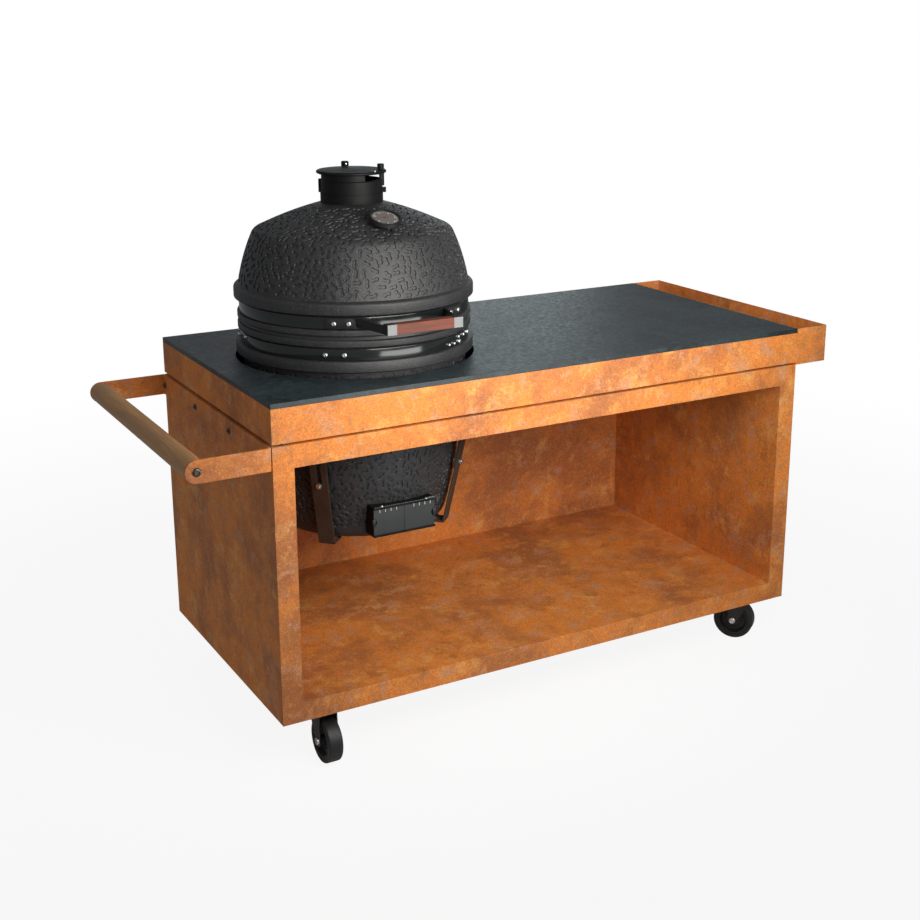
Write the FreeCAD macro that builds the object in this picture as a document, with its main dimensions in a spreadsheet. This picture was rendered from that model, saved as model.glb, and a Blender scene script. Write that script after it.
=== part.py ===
import FreeCAD, Part
import math
import os
import re
import Sketcher
from FreeCAD import Placement, Rotation, Vector

# Kamado grill table, in millimetres.
# +Z is up and +Y runs from the open front to the back.
# The origin lies on the floor, below the middle of the table's length and depth.

SIZES = {
    # Carcass of folded sheet
    "carcass_width": 1450.0,
    "table_depth": 723.2,
    "underside_height": 136.0,
    "carcass_height": 648.8,
    "side_box_width": 49.0,
    "floor_box_height": 47.5,
    "lintel_height": 51.3,
    "lintel_depth": 49.0,
    "sheet": 3.0,
    # Top frame and worktop
    "shadow_gap": 5.8,
    "top_frame_height": 77.9,
    "bottom_flange_width": 49.0,
    "top_flange_width": 30.0,
    "slab_thickness": 11.5,
    "cutout_radius": 286.4,
    "kamado_from_left": 364.5,
    "spacer_radius": 10.0,
    "spacer_side_inset": 30.0,
    "spacer_front_inset": 16.0,
    "support_plate_thickness": 4.0,
    "support_plate_reach": 345.0,
    "support_hole_margin": 3.0,
    # Push handle
    "handle_reach": 165.0,
    "bar_height": 51.0,
    "bar_thickness": 5.0,
    "bar_bend_radius": 7.0,
    "rod_radius": 25.0,
    "rod_bolt_radius": 5.0,
    "rod_bolt_length": 45.0,
    "rod_bolt_head_radius": 9.0,
    "rod_bolt_head_height": 5.0,
    "panel_bolt_radius": 4.0,
    "panel_bolt_length": 12.0,
    "panel_bolt_head_radius": 7.5,
    "panel_bolt_head_height": 4.4,
    "handle_bolt_inset": 18.1,
    "planter_bolt_inset": 91.6,
    "hole_clearance": 0.2,
    # Planter trough
    "planter_width": 98.0,
    "planter_height": 95.5,
    "planter_rim_drop": 0.5,
    # Casters
    "left_caster_inset": 121.0,
    "right_caster_inset": 62.0,
    "caster_depth_inset": 71.0,
    "caster_trail": 31.0,
    "caster_plate_side": 90.0,
    "caster_plate_thickness": 4.0,
    "race_radius": 28.0,
    "race_height": 6.0,
    "kingpin_radius": 6.0,
    "kingpin_head_radius": 10.0,
    "kingpin_head_height": 3.0,
    "crown_radius": 26.0,
    "fork_sheet": 3.0,
    "fork_side_gap": 2.5,
    "fork_top_front": 38.0,
    "fork_top_back": 22.0,
    "fork_foot_radius": 13.0,
    "wheel_radius": 54.0,
    "wheel_width": 36.0,
    "wheel_edge": 5.0,
    "rim_inner_radius": 40.0,
    "rim_lip": 2.0,
    "hub_radius": 13.0,
    "wheel_web": 10.0,
    "axle_radius": 6.0,
    "axle_head_radius": 9.0,
    "axle_head_height": 5.0,
    "bearing_clearance": 0.06,
    "running_gap": 0.3,
    # Ceramic base, heights measured from its underside
    "body_below_worktop": 408.0,
    "foot_radius": 195.0,
    "heel_round_radius": 207.5,
    "heel_round_height": 9.0,
    "heel_radius": 215.0,
    "heel_height": 24.0,
    "belly_bulge": 3.01,
    "belly_radius": 245.0,
    "belly_height": 174.0,
    "neck_radius": 268.0,
    "neck_rise": 242.0,
    "rib_radius": 283.8,
    "rib_foot_rise": 5.5,
    "rib_height": 24.0,
    "base_lip_radius": 278.0,
    "base_lip_gap": 5.0,
    "base_lip_height": 13.4,
    "base_rim_rise": 2.1,
    "lip_chamfer": 3.0,
    "ceramic_wall": 25.0,
    "ceramic_floor": 28.0,
    "gasket_inner_radius": 250.0,
    "gasket_outer_radius": 275.0,
    "base_gasket_thickness": 4.8,
    "lid_gasket_thickness": 2.4,
    # Steel bands
    "band_radius": 273.3,
    "band_sheet": 4.0,
    "base_band_gap": 0.5,
    "base_band_height": 27.0,
    "band_fit": 0.2,
    "band_bolt_radius": 3.0,
    "band_bolt_head_radius": 6.0,
    "band_bolt_head_height": 5.0,
    # Ceramic lid
    "lid_rim_rise": 3.3,
    "lid_lip_height": 12.1,
    "lid_band_gap": 1.1,
    "lid_band_height": 28.0,
    "collar_radius": 284.7,
    "collar_gap": 6.0,
    "collar_height": 20.0,
    "collar_round": 6.3,
    "dome_foot_radius": 272.7,
    "dome_foot_rise": 7.2,
    "dome_rise": 113.5,
    "dome_bulge": 3.97,
    "shoulder_low_radius": 237.5,
    "shoulder_rise": 12.5,
    "shoulder_bulge": 1.4,
    "shoulder_top_radius": 222.0,
    "cone_rise": 60.0,
    "cone_bulge": 4.57,
    "vent_hole_radius": 55.0,
    "lid_wall": 22.0,
    # Vent on the lid
    "vent_bore_radius": 48.0,
    "vent_drum_radius": 73.5,
    "vent_drum_height": 17.0,
    "vent_wall": 5.0,
    "vent_sleeve_depth": 24.0,
    "vent_neck_height": 24.0,
    "ring_wall": 6.0,
    "ring_height": 30.6,
    "ring_crown_wall": 4.2,
    "ring_crown_height": 14.2,
    "ring_window_offset": 37.0,
    "ring_turn": -30.0,
    "left_lug_reach": 77.0,
    "right_lug_reach": 80.5,
    "lug_width": 16.0,
    "right_lug_height": 11.0,
    "cap_radius": 82.0,
    "cap_edge_height": 7.0,
    "cap_dome_height": 3.0,
    "cap_pivot_offset": 69.0,
    "post_radius": 8.0,
    "pivot_pin_radius": 4.0,
    "pivot_head_radius": 8.0,
    "pivot_head_height": 12.0,
    "pivot_pin_depth": 20.0,
    "knob_radius": 9.0,
    "knob_height": 11.5,
    "knob_offset": 66.0,
    "knob_turn": 78.0,
    # Thermometer
    "thermometer_radius": 171.0,
    "thermometer_tilt": 21.5,
    "thermometer_lift": 8.0,
    "bezel_radius": 37.0,
    "bezel_height": 12.0,
    "bezel_rim": 4.5,
    "dial_depth": 3.5,
    "dial_thickness": 1.5,
    "stem_radius": 4.0,
    "stem_length": 70.0,
    "needle_length": 24.0,
    "needle_width": 2.0,
    "needle_hub_radius": 2.5,
    # Lid handle
    "grip_front": 369.0,
    "grip_length": 141.0,
    "grip_depth": 22.0,
    "grip_height": 23.0,
    "grip_lift": 4.5,
    "end_plate_width": 22.0,
    "end_plate_thickness": 3.0,
    "end_block_depth": 20.0,
    "arm_thickness": 5.0,
    "arm_height": 19.0,
    "arm_flange_angle": 31.0,
    "arm_flange_span": 15.0,
    "arm_flange_thickness": 3.0,
    "arm_flange_height": 22.0,
    "arm_bolt_spread": 3.4,
    # Rear hinge
    "hinge_pin_offset": 315.0,
    "hinge_pin_drop": 1.8,
    "hinge_pin_radius": 6.0,
    "hinge_pin_head_radius": 9.0,
    "hinge_pin_head": 4.0,
    "hinge_eye_radius": 12.0,
    "hinge_ear_sheet": 6.0,
    "base_ear_inner": 50.0,
    "lid_ear_inner": 38.0,
    "hinge_plate_thickness": 8.0,
    # Draft door at the foot of the base
    "draft_box_width": 160.0,
    "draft_box_low": 20.0,
    "draft_box_height": 72.0,
    "draft_front": 250.0,
    "draft_sheet": 3.0,
    "draft_door_width": 79.0,
    "draft_door_thickness": 3.0,
    "draft_window_width": 110.0,
    "draft_window_margin": 11.0,
    "draft_lip_height": 5.0,
    "draft_finger_radius": 8.0,
    "draft_hole_width": 100.0,
    "draft_hole_height": 40.0,
    # Hangers
    "hanger_width": 40.0,
    "hanger_thickness": 5.0,
    "upper_hanger_thickness": 4.0,
    "hanger_foot_reach": 180.0,
    "hanger_heel_radius": 225.0,
    "hanger_pad_thickness": 5.0,
    "hanger_pad_side": 24.0,
    "hanger_slope": 0.224,
    "upper_hanger_low": 134.0,
    "lower_hanger_top": 262.0,
    "hanger_flange_reach": 355.0,
    "hanger_slot_width": 13.0,
    "hanger_bolt_height": 148.0,
    "hanger_hole_radius": 3.8,
    "hanger_hole_pitch": 10.0,
    "hanger_bolt_radius": 3.5,
    "hanger_bolt_head_radius": 7.0,
    "hanger_bolt_head_height": 5.0,
    # Inside the kamado
    "fire_box_clearance": 2.0,
    "fire_box_top_radius": 206.0,
    "fire_box_height": 236.0,
    "fire_box_wall": 18.0,
    "fire_ring_top_radius": 228.0,
    "fire_ring_height": 160.0,
    "ash_slot_width": 90.0,
    "ash_slot_height": 40.0,
    "charcoal_grate_radius": 150.0,
    "charcoal_ledge_height": 40.0,
    "cooking_grate_radius": 226.0,
    "grate_bar": 6.0,
    "grate_rim": 8.0,
    "grate_pitch": 18.0,
}

# Places worked out from the sizes
DERIVED = {
    "left_face": "(handle_reach + bar_height / 2 - carcass_width - planter_width) / 2",
    "right_face": "left_face + carcass_width",
    "front_face": "-table_depth / 2",
    "rear_face": "table_depth / 2",
    "carcass_top": "underside_height + carcass_height",
    "frame_low": "carcass_top + shadow_gap",
    "frame_top": "frame_low + top_frame_height",
    "worktop_top": "frame_top + slab_thickness",
    "kamado_x": "left_face + kamado_from_left",
    "body_bottom": "worktop_top - body_below_worktop",
    "bar_middle": "carcass_top - bar_height / 2",
    "handle_bolt_pitch": "(table_depth - 2 * handle_bolt_inset) / 3",
    "planter_bolt_pitch": "(table_depth - 2 * planter_bolt_inset) / 3",
    "rod_x": "left_face - handle_reach",
    "planter_low": "worktop_top - planter_rim_drop - planter_height",
    "plate_top": "frame_top - sheet",
    "plate_low": "plate_top - support_plate_thickness",
    "race_low": "underside_height - caster_plate_thickness - race_height",
    "crown_top": "race_low - running_gap",
    "fork_inner": "wheel_width / 2 + fork_side_gap",
    "fork_outer": "fork_inner + fork_sheet",
    "belly_low_radius": "(heel_radius + belly_radius) / 2 + belly_bulge",
    "belly_low_height": "(heel_height + belly_height) / 2",
    "neck_height": "belly_height + neck_rise",
    "rib_low_height": "neck_height + rib_foot_rise",
    "rib_top_height": "rib_low_height + rib_height",
    "base_band_low": "rib_top_height + base_band_gap",
    "base_lip_low": "base_band_low + base_band_height + base_lip_gap",
    "base_lip_top": "base_lip_low + base_lip_height",
    "base_rim_height": "base_lip_top + base_rim_rise",
    "lid_bottom": "base_rim_height + base_gasket_thickness + running_gap + lid_gasket_thickness",
    "lid_lip_low": "lid_bottom + lid_rim_rise",
    "lid_lip_top": "lid_lip_low + lid_lip_height",
    "lid_band_low": "lid_lip_top + lid_band_gap",
    "collar_low": "lid_band_low + lid_band_height + collar_gap",
    "collar_top": "collar_low + collar_height",
    "dome_foot_height": "collar_top + collar_round + dome_foot_rise",
    "dome_side_radius": "(dome_foot_radius + shoulder_low_radius) / 2 + dome_bulge",
    "dome_side_height": "dome_foot_height + dome_rise / 2",
    "shoulder_low_height": "dome_foot_height + dome_rise",
    "shoulder_mid_radius": "(shoulder_low_radius + shoulder_top_radius) / 2 + shoulder_bulge",
    "shoulder_mid_height": "shoulder_low_height + shoulder_rise / 2 + shoulder_bulge",
    "shoulder_top_height": "shoulder_low_height + shoulder_rise",
    "cone_mid_radius": "(shoulder_top_radius + vent_hole_radius) / 2",
    "cone_mid_height": "shoulder_top_height + cone_rise / 2 + cone_bulge",
    "crown_height": "shoulder_top_height + cone_rise",
    "cone_run": "shoulder_top_radius - vent_hole_radius",
    "thermometer_share": "(shoulder_top_radius - thermometer_radius) / cone_run",
    "thermometer_height": "shoulder_top_height + cone_rise * thermometer_share"
                          " + 4 * cone_bulge * thermometer_share * (1 - thermometer_share)",
    "grip_centre_height": "lid_band_low + lid_band_height / 2 + grip_lift",
    "hinge_pin_height": "lid_bottom - hinge_pin_drop",
    "band_seat": "band_radius - band_sheet - band_fit",
    "vent_seat": "crown_height + 0.8",
    "drum_top": "crown_height + vent_drum_height",
    "ring_low": "drum_top + running_gap",
    "ring_shoulder": "ring_low + ring_height",
    "ring_top": "ring_shoulder + ring_crown_height",
    "ring_inner": "vent_drum_radius - vent_wall - ring_wall + 4",
    "cap_low": "ring_top + running_gap",
    "cap_top": "cap_low + cap_edge_height + cap_dome_height",
    "draft_box_top": "draft_box_low + draft_box_height",
    "draft_door_low": "draft_box_low + draft_sheet + running_gap",
    "draft_door_top": "draft_box_top - draft_sheet - running_gap",
    "draft_back": "draft_front - draft_door_thickness - running_gap",
    "hanger_pad_low": "-hanger_pad_thickness",
    "hanger_foot_low": "hanger_pad_low - hanger_thickness",
    "plate_low_on_body": "plate_low - body_bottom",
    "fire_box_foot_radius": "foot_radius - ceramic_wall - fire_box_clearance",
    "fire_box_top": "ceramic_floor + running_gap + fire_box_height",
    "fire_ring_low": "fire_box_top + running_gap",
    "fire_ring_top": "fire_ring_low + fire_ring_height",
}

document = FreeCAD.newDocument("kamado_grill_table")

dims = document.addObject("Spreadsheet::Sheet", "dims")
for row, (alias, value) in enumerate(SIZES.items(), start=1):
    dims.set(f"A{row}", alias)
    dims.set(f"B{row}", str(value))
    dims.setAlias(f"B{row}", alias)
document.recompute()

NAME = re.compile(r"[a-z][a-z_]+")


def formula(text, inside_derived=False):
    """Turn plain size names into references that the document understands."""
    def reference(match):
        word = match.group(0)
        if word in SIZES:
            return f"dims.{word}"
        if word in DERIVED and not inside_derived:
            return f"derived.{word}"
        return word
    return NAME.sub(reference, str(text))


derived = document.addObject("App::VarSet", "derived")
for place_name in DERIVED:
    derived.addProperty("App::PropertyFloat", place_name)
for place_name, text in DERIVED.items():
    derived.setExpression(place_name, formula(text, inside_derived=True))
document.recompute()

ORIGIN = ("0", "0", "0")
TURN_AXES = {"x": Rotation(Vector(0, 1, 0), 90), "y": Rotation(Vector(1, 0, 0), -90), "z": Rotation()}
KAMADO = ("kamado_x", "0", "body_bottom")
sub_parts = []


def measure(text):
    """Value of a size or a formula, in millimetres."""
    return float(dims.evalExpression(formula(text)))


def place(feature, base=ORIGIN, rotation=None):
    """Put a feature where three formulas say."""
    feature.Placement = Placement(Vector(*(measure(text) for text in base)), rotation or Rotation())
    for axis, text in zip("xyz", base):
        feature.setExpression(f"Placement.Base.{axis}", formula(text))
    return feature


def keep(feature, label, base=None, rotation=None):
    """Name a finished sub-part, put it in place and list it for writing."""
    feature.Label = label
    if base is not None:
        place(feature, base, rotation)
    sub_parts.append(feature)
    return feature


def block(low, high, name="block"):
    """Box between two corners."""
    feature = document.addObject("Part::Box", name)
    for side, start, end in zip(("Length", "Width", "Height"), low, high):
        feature.setExpression(side, formula(f"({end}) - ({start})"))
    return place(feature, low)


def cylinder(radius, length, base=ORIGIN, axis="z", name="cylinder"):
    """Round bar that starts at a point and runs along an axis."""
    feature = document.addObject("Part::Cylinder", name)
    feature.setExpression("Radius", formula(radius))
    feature.setExpression("Height", formula(length))
    return place(feature, base, TURN_AXES[axis])


def fuse(*pieces):
    feature = document.addObject("Part::MultiFuse", "joined")
    feature.Shapes = list(pieces)
    return feature


def cut(base, *tools):
    feature = document.addObject("Part::Cut", "cut")
    feature.Base = base
    feature.Tool = tools[0] if len(tools) == 1 else fuse(*tools)
    return feature


def group(pieces):
    feature = document.addObject("Part::Compound", "group")
    feature.Links = list(pieces)
    return feature


def copy_of(source, base=ORIGIN, rotation=None):
    """The same piece again at another place."""
    link = document.addObject("App::Link", source.Name + "_copy")
    link.LinkedObject = source
    link.LinkTransform = False
    return place(link, base, rotation)


def around(source, angles):
    """Copies of a piece turned about the vertical axis."""
    return group([copy_of(source, rotation=Rotation(Vector(0, 0, 1), angle)) for angle in angles])


def outline_sketch(body, plane_role, outline):
    """Closed outline of points; an entry that starts with 'through' bends the side it lies on."""
    plane = next(item for item in body.Origin.OriginFeatures if item.Role == plane_role)
    sketch = body.newObject("Sketcher::SketchObject", body.Name + "_outline")
    sketch.AttachmentSupport = [(plane, "")]
    sketch.MapMode = "FlatFace"
    corners = []
    bends = {}
    for entry in outline:
        if entry[0] == "through":
            bends[len(corners) - 1] = entry[1:]
        else:
            corners.append(entry)

    def point(pair):
        return Vector(measure(pair[0]), measure(pair[1]), 0)

    def pin(geometry, vertex, pair):
        """Hold a vertex at its formulas, measured from the sketch's origin."""
        for kind, text in zip(("DistanceX", "DistanceY"), pair):
            index = sketch.addConstraint(
                Sketcher.Constraint(kind, -1, 1, geometry, vertex, measure(text)))
            sketch.setExpression(f"Constraints[{index}]", formula(text))

    sides = []
    for index, corner in enumerate(corners):
        following = corners[(index + 1) % len(corners)]
        if index in bends:
            middle = point(bends[index])
            geometry = sketch.addGeometry(Part.Arc(point(corner), middle, point(following)))
            forward = (middle - point(corner)).cross(point(following) - middle).z > 0
            marker = sketch.addGeometry(Part.Point(middle), True)
            pin(marker, 1, bends[index])
            sketch.addConstraint(Sketcher.Constraint("PointOnObject", marker, 1, geometry))
        else:
            geometry = sketch.addGeometry(Part.LineSegment(point(corner), point(following)))
            forward = True
        sides.append((geometry, (1, 2) if forward else (2, 1)))
    for index, (geometry, ends) in enumerate(sides):
        before, before_ends = sides[index - 1]
        pin(geometry, ends[0], corners[index])
        sketch.addConstraint(
            Sketcher.Constraint("Coincident", before, before_ends[1], geometry, ends[0]))
    return sketch


def turned(outline, name="turned"):
    """Solid of revolution about its own Z axis from (radius, height) points."""
    body = document.addObject("PartDesign::Body", name)
    sketch = outline_sketch(body, "XZ_Plane", outline)
    revolution = body.newObject("PartDesign::Revolution", body.Name + "_turn")
    revolution.Profile = sketch
    revolution.ReferenceAxis = (sketch, ["V_Axis"])
    revolution.Angle = 360
    body.Tip = revolution
    return body


def padded(plane_role, outline, thickness, name="padded"):
    """Flat outline given a thickness, centred on its plane."""
    body = document.addObject("PartDesign::Body", name)
    sketch = outline_sketch(body, plane_role, outline)
    pad = body.newObject("PartDesign::Pad", body.Name + "_pad")
    pad.Profile = sketch
    pad.Midplane = True
    pad.setExpression("Length", formula(thickness))
    body.Tip = pad
    return body


def ring(inner, outer, low, high, name="ring"):
    return turned([(inner, low), (outer, low), (outer, high), (inner, high)], name)


def bolt(radius, length, head_radius, head_height, name="bolt"):
    """Button-head bolt: the head's underside lies at height 0 and the shank points down."""
    return turned([
        ("0", f"-({length})"), (radius, f"-({length})"), (radius, "0"), (head_radius, "0"),
        (head_radius, f"{head_height} * 0.35"),
        ("through", f"{head_radius} * 0.76", f"{head_height} * 0.84"),
        (f"{head_radius} * 0.3", head_height), ("0", head_height)], name)


def hollow_box(low, high, void_low, void_high):
    return cut(block(low, high), block(void_low, void_high))


# Carcass: boxed side panels and floor, open at the back where the back panel closes them

RIM = "rear_face - sheet"
OVER = "rear_face"


def side_panel(outer_x, inner_x, bolt_holes):
    low_x, high_x = (outer_x, inner_x) if measure(outer_x) < measure(inner_x) else (inner_x, outer_x)
    shell = hollow_box(
        (low_x, "front_face", "underside_height"), (high_x, RIM, "carcass_top"),
        (f"{low_x} + sheet", "front_face + sheet", "underside_height + sheet"),
        (f"{high_x} - sheet", OVER, "carcass_top - sheet"))
    return cut(shell, *bolt_holes) if bolt_holes else shell


def handle_bolt_y(index):
    return f"({index} - 1.5) * handle_bolt_pitch"


def planter_bolt_y(index):
    return f"({index} - 1.5) * planter_bolt_pitch"


panel_hole = "panel_bolt_radius + hole_clearance"
side_holes = [
    cylinder(panel_hole, "2 * sheet", ("left_face - sheet / 2", handle_bolt_y(index), "bar_middle"), "x")
    for index in range(4)]
keep(side_panel("left_face", "left_face + side_box_width", side_holes), "left_side_panel")
keep(side_panel("right_face", "right_face - side_box_width", []), "right_side_panel")

keep(hollow_box(
    ("left_face + side_box_width", "front_face", "underside_height"),
    ("right_face - side_box_width", RIM, "underside_height + floor_box_height"),
    ("left_face + side_box_width + sheet", "front_face + sheet", "underside_height + sheet"),
    ("right_face - side_box_width - sheet", OVER, "underside_height + floor_box_height - sheet")),
    "floor_panel")

keep(group([block(("left_face", RIM, "underside_height"), ("right_face", "rear_face", "carcass_top"))]),
     "back_panel")

keep(hollow_box(
    ("left_face + side_box_width", "front_face", "carcass_top - lintel_height"),
    ("right_face - side_box_width", "front_face + lintel_depth", "carcass_top"),
    ("left_face + side_box_width + sheet", "front_face + sheet", "carcass_top - lintel_height + sheet"),
    ("right_face - side_box_width - sheet", "front_face + lintel_depth + sheet", "carcass_top - sheet")),
    "front_lintel")

# Top frame: a ring of channel with its web outside, over round spacers

frame_holes = [
    cylinder(panel_hole, "2 * sheet",
             ("right_face - 1.5 * sheet", planter_bolt_y(index), "planter_low + planter_height / 2"), "x")
    for index in range(4)]
keep(cut(
    block(("left_face", "front_face", "frame_low"), ("right_face", "rear_face", "frame_top")),
    block(("left_face + sheet", "front_face + sheet", "frame_low + sheet"),
          ("right_face - sheet", "rear_face - sheet", "frame_top - sheet")),
    block(("left_face + bottom_flange_width", "front_face + bottom_flange_width", "frame_low - sheet"),
          ("right_face - bottom_flange_width", "rear_face - bottom_flange_width", "frame_low + 2 * sheet")),
    block(("left_face + top_flange_width", "front_face + top_flange_width", "frame_top - 2 * sheet"),
          ("right_face - top_flange_width", "rear_face - top_flange_width", "frame_top + sheet")),
    *frame_holes), "top_frame")

spacers = []
for x_text in ("left_face + spacer_side_inset", "right_face - spacer_side_inset"):
    for y_text in ("front_face + spacer_front_inset", "rear_face - spacer_front_inset"):
        spacers.append(cylinder("spacer_radius", "shadow_gap", (x_text, y_text, "carcass_top")))
keep(group(spacers), "gap_spacers")

keep(cut(
    block(("left_face", "front_face", "frame_top"), ("right_face", "rear_face", "worktop_top")),
    cylinder("cutout_radius", "slab_thickness + 2", ("kamado_x", "0", "frame_top - 1"))), "worktop_slab")

keep(cut(
    block(("left_face + sheet", "front_face + sheet", "plate_low"),
          ("kamado_x + support_plate_reach", "rear_face - sheet", "plate_top")),
    cylinder("cutout_radius + support_hole_margin", "support_plate_thickness + 2",
             ("kamado_x", "0", "plate_low - 1"))), "support_plate")

# Push handle: a bar bent round three sides and a round rod between its arms

bar_low = "carcass_top - bar_height"
web = block(("left_face - bar_thickness", "front_face", bar_low), ("left_face", "rear_face", "carcass_top"))
arms = []
arm_holes = []
for y_text in ("front_face", "rear_face - bar_thickness"):
    arms.append(block(("rod_x", y_text, bar_low), ("left_face", f"{y_text} + bar_thickness", "carcass_top")))
    arms.append(cylinder("bar_height / 2", "bar_thickness", ("rod_x", y_text, "bar_middle"), "y"))
    arm_holes.append(cylinder("rod_bolt_radius + hole_clearance", "bar_thickness + 2",
                              ("rod_x", f"{y_text} - 1", "bar_middle"), "y"))
web_holes = [
    cylinder(panel_hole, "bar_thickness + 2",
             ("left_face - bar_thickness - 1", handle_bolt_y(index), "bar_middle"), "x")
    for index in range(4)]
bend_corners = []
for y_text, inward in (("front_face", 1), ("rear_face", -1)):
    bend_y = f"({y_text} + {inward} * bar_bend_radius)"
    near, far = sorted((f"{y_text} - {inward}", bend_y), key=measure)
    corner = block(("left_face - bar_bend_radius", near, f"{bar_low} - 1"),
                   ("left_face + 1", far, "carcass_top + 1"))
    bend = cylinder("bar_bend_radius", "bar_height + 4",
                    ("left_face - bar_bend_radius", bend_y, f"{bar_low} - 2"))
    bend_corners.append(cut(corner, bend))
keep(cut(fuse(web, *arms), *arm_holes, *web_holes, *bend_corners), "push_handle_bracket")

rod_length = "table_depth - 2 * bar_thickness"
rod = cylinder("rod_radius", rod_length, ("rod_x", "front_face + bar_thickness", "bar_middle"), "y")
rod_bores = [
    cylinder("rod_bolt_radius + hole_clearance", "rod_bolt_length", ("rod_x", start, "bar_middle"), "y")
    for start in ("front_face + bar_thickness - 1",
                  "rear_face - bar_thickness - rod_bolt_length + 1")]
keep(cut(rod, *rod_bores), "push_handle_rod")

rod_bolt = bolt("rod_bolt_radius", "rod_bolt_length", "rod_bolt_head_radius", "rod_bolt_head_height")
keep(group([
    copy_of(rod_bolt, ("rod_x", "front_face", "bar_middle"), Rotation(Vector(1, 0, 0), 90)),
    copy_of(rod_bolt, ("rod_x", "rear_face", "bar_middle"), Rotation(Vector(1, 0, 0), -90))]), "rod_bolts")

# Planter trough, welded from five plates, and the bolts of the side fittings

trough_wall_holes = [
    cylinder(panel_hole, "2 * sheet",
             ("right_face - sheet / 2", planter_bolt_y(index), "planter_low + planter_height / 2"), "x")
    for index in range(4)]
trough_outer = "right_face + planter_width"
wall_low = "planter_low + sheet"
wall_top = "planter_low + planter_height"
keep(group([
    block(("right_face", "front_face", "planter_low"), (trough_outer, "rear_face", wall_low)),
    cut(block(("right_face", "front_face", wall_low), ("right_face + sheet", "rear_face", wall_top)),
        *trough_wall_holes),
    block((f"{trough_outer} - sheet", "front_face", wall_low), (trough_outer, "rear_face", wall_top)),
    block(("right_face + sheet", "front_face", wall_low),
          (f"{trough_outer} - sheet", "front_face + sheet", wall_top)),
    block(("right_face + sheet", "rear_face - sheet", wall_low),
          (f"{trough_outer} - sheet", "rear_face", wall_top))]), "planter_trough")

panel_bolt = bolt("panel_bolt_radius", "panel_bolt_length", "panel_bolt_head_radius", "panel_bolt_head_height")
panel_bolts = []
for index in range(4):
    panel_bolts.append(copy_of(
        panel_bolt, ("left_face - bar_thickness", handle_bolt_y(index), "bar_middle"),
        Rotation(Vector(0, 1, 0), -90)))
    panel_bolts.append(copy_of(
        panel_bolt, ("right_face + sheet", planter_bolt_y(index), "planter_low + planter_height / 2"),
        Rotation(Vector(0, 1, 0), 90)))
keep(group(panel_bolts), "panel_bolts")

# Casters: each drawn about its swivel axis with the wheel trailing towards the front, then turned

CASTERS = {
    "front_left": ("left_face + left_caster_inset", "front_face + caster_depth_inset", 0.0),
    "front_right": ("right_face - right_caster_inset", "front_face + caster_depth_inset", -144.0),
    "rear_left": ("left_face + left_caster_inset", "rear_face - caster_depth_inset", 180.0),
    "rear_right": ("right_face - right_caster_inset", "rear_face - caster_depth_inset", -152.0),
}

half_plate = "caster_plate_side / 2"
caster_plate = fuse(
    block((f"-{half_plate}", f"-{half_plate}", "underside_height - caster_plate_thickness"),
          (half_plate, half_plate, "underside_height")),
    cylinder("race_radius", "race_height", ("0", "0", "race_low")),
    cylinder("kingpin_radius", "underside_height - crown_top + fork_sheet + running_gap",
             ("0", "0", "crown_top - fork_sheet - running_gap")),
    cylinder("kingpin_head_radius", "kingpin_head_height",
             ("0", "0", "crown_top - fork_sheet - running_gap - kingpin_head_height")))

fork_outline = [
    ("-fork_top_front", "crown_top"), ("fork_top_back", "crown_top"),
    ("fork_foot_radius - caster_trail", "wheel_radius"),
    ("through", "-caster_trail", "wheel_radius - fork_foot_radius"),
    ("-fork_foot_radius - caster_trail", "wheel_radius")]
fork_block = padded("YZ_Plane", fork_outline, "2 * fork_outer")
fork_void = block(("-fork_inner", "-fork_top_front - caster_trail - wheel_radius", "-1"),
                  ("fork_inner", "fork_top_front + wheel_radius", "crown_top - fork_sheet"))
fork_crown = cylinder("crown_radius", "fork_sheet", ("0", "0", "crown_top - fork_sheet"))
fork = cut(
    fuse(cut(fork_block, fork_void), fork_crown),
    cylinder("kingpin_radius + bearing_clearance", "fork_sheet + 2", ("0", "0", "crown_top - fork_sheet - 1")),
    cylinder("axle_radius + bearing_clearance", "2 * fork_outer + 2",
             ("-fork_outer - 1", "-caster_trail", "wheel_radius"), "x"))

axle_end = "fork_outer + axle_head_height"
axle = turned([
    ("0", f"-({axle_end})"), ("axle_head_radius * 0.8", f"-({axle_end})"),
    ("axle_head_radius", "-fork_outer - axle_head_height * 0.6"), ("axle_head_radius", "-fork_outer"),
    ("axle_radius", "-fork_outer"), ("axle_radius", "fork_outer"), ("axle_head_radius", "fork_outer"),
    ("axle_head_radius", "fork_outer + axle_head_height * 0.6"),
    ("axle_head_radius * 0.8", axle_end), ("0", axle_end)])

half_width = "wheel_width / 2"
hub_end = "fork_inner - running_gap"
edge_in = "wheel_edge * 0.29"
wheel = turned([
    ("axle_radius + bearing_clearance", f"-({hub_end})"), ("hub_radius", f"-({hub_end})"),
    ("hub_radius", "-wheel_web / 2"), ("rim_inner_radius - rim_lip", "-wheel_web / 2"),
    ("rim_inner_radius", f"rim_lip - {half_width}"), ("rim_inner_radius + rim_lip", f"-{half_width}"),
    ("wheel_radius - wheel_edge", f"-{half_width}"),
    ("through", f"wheel_radius - {edge_in}", f"{edge_in} - {half_width}"),
    ("wheel_radius", f"wheel_edge - {half_width}"), ("wheel_radius", f"{half_width} - wheel_edge"),
    ("through", f"wheel_radius - {edge_in}", f"{half_width} - {edge_in}"),
    ("wheel_radius - wheel_edge", half_width), ("rim_inner_radius + rim_lip", half_width),
    ("rim_inner_radius", f"{half_width} - rim_lip"), ("rim_inner_radius - rim_lip", "wheel_web / 2"),
    ("hub_radius", "wheel_web / 2"), ("hub_radius", hub_end),
    ("axle_radius + bearing_clearance", hub_end)])

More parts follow.
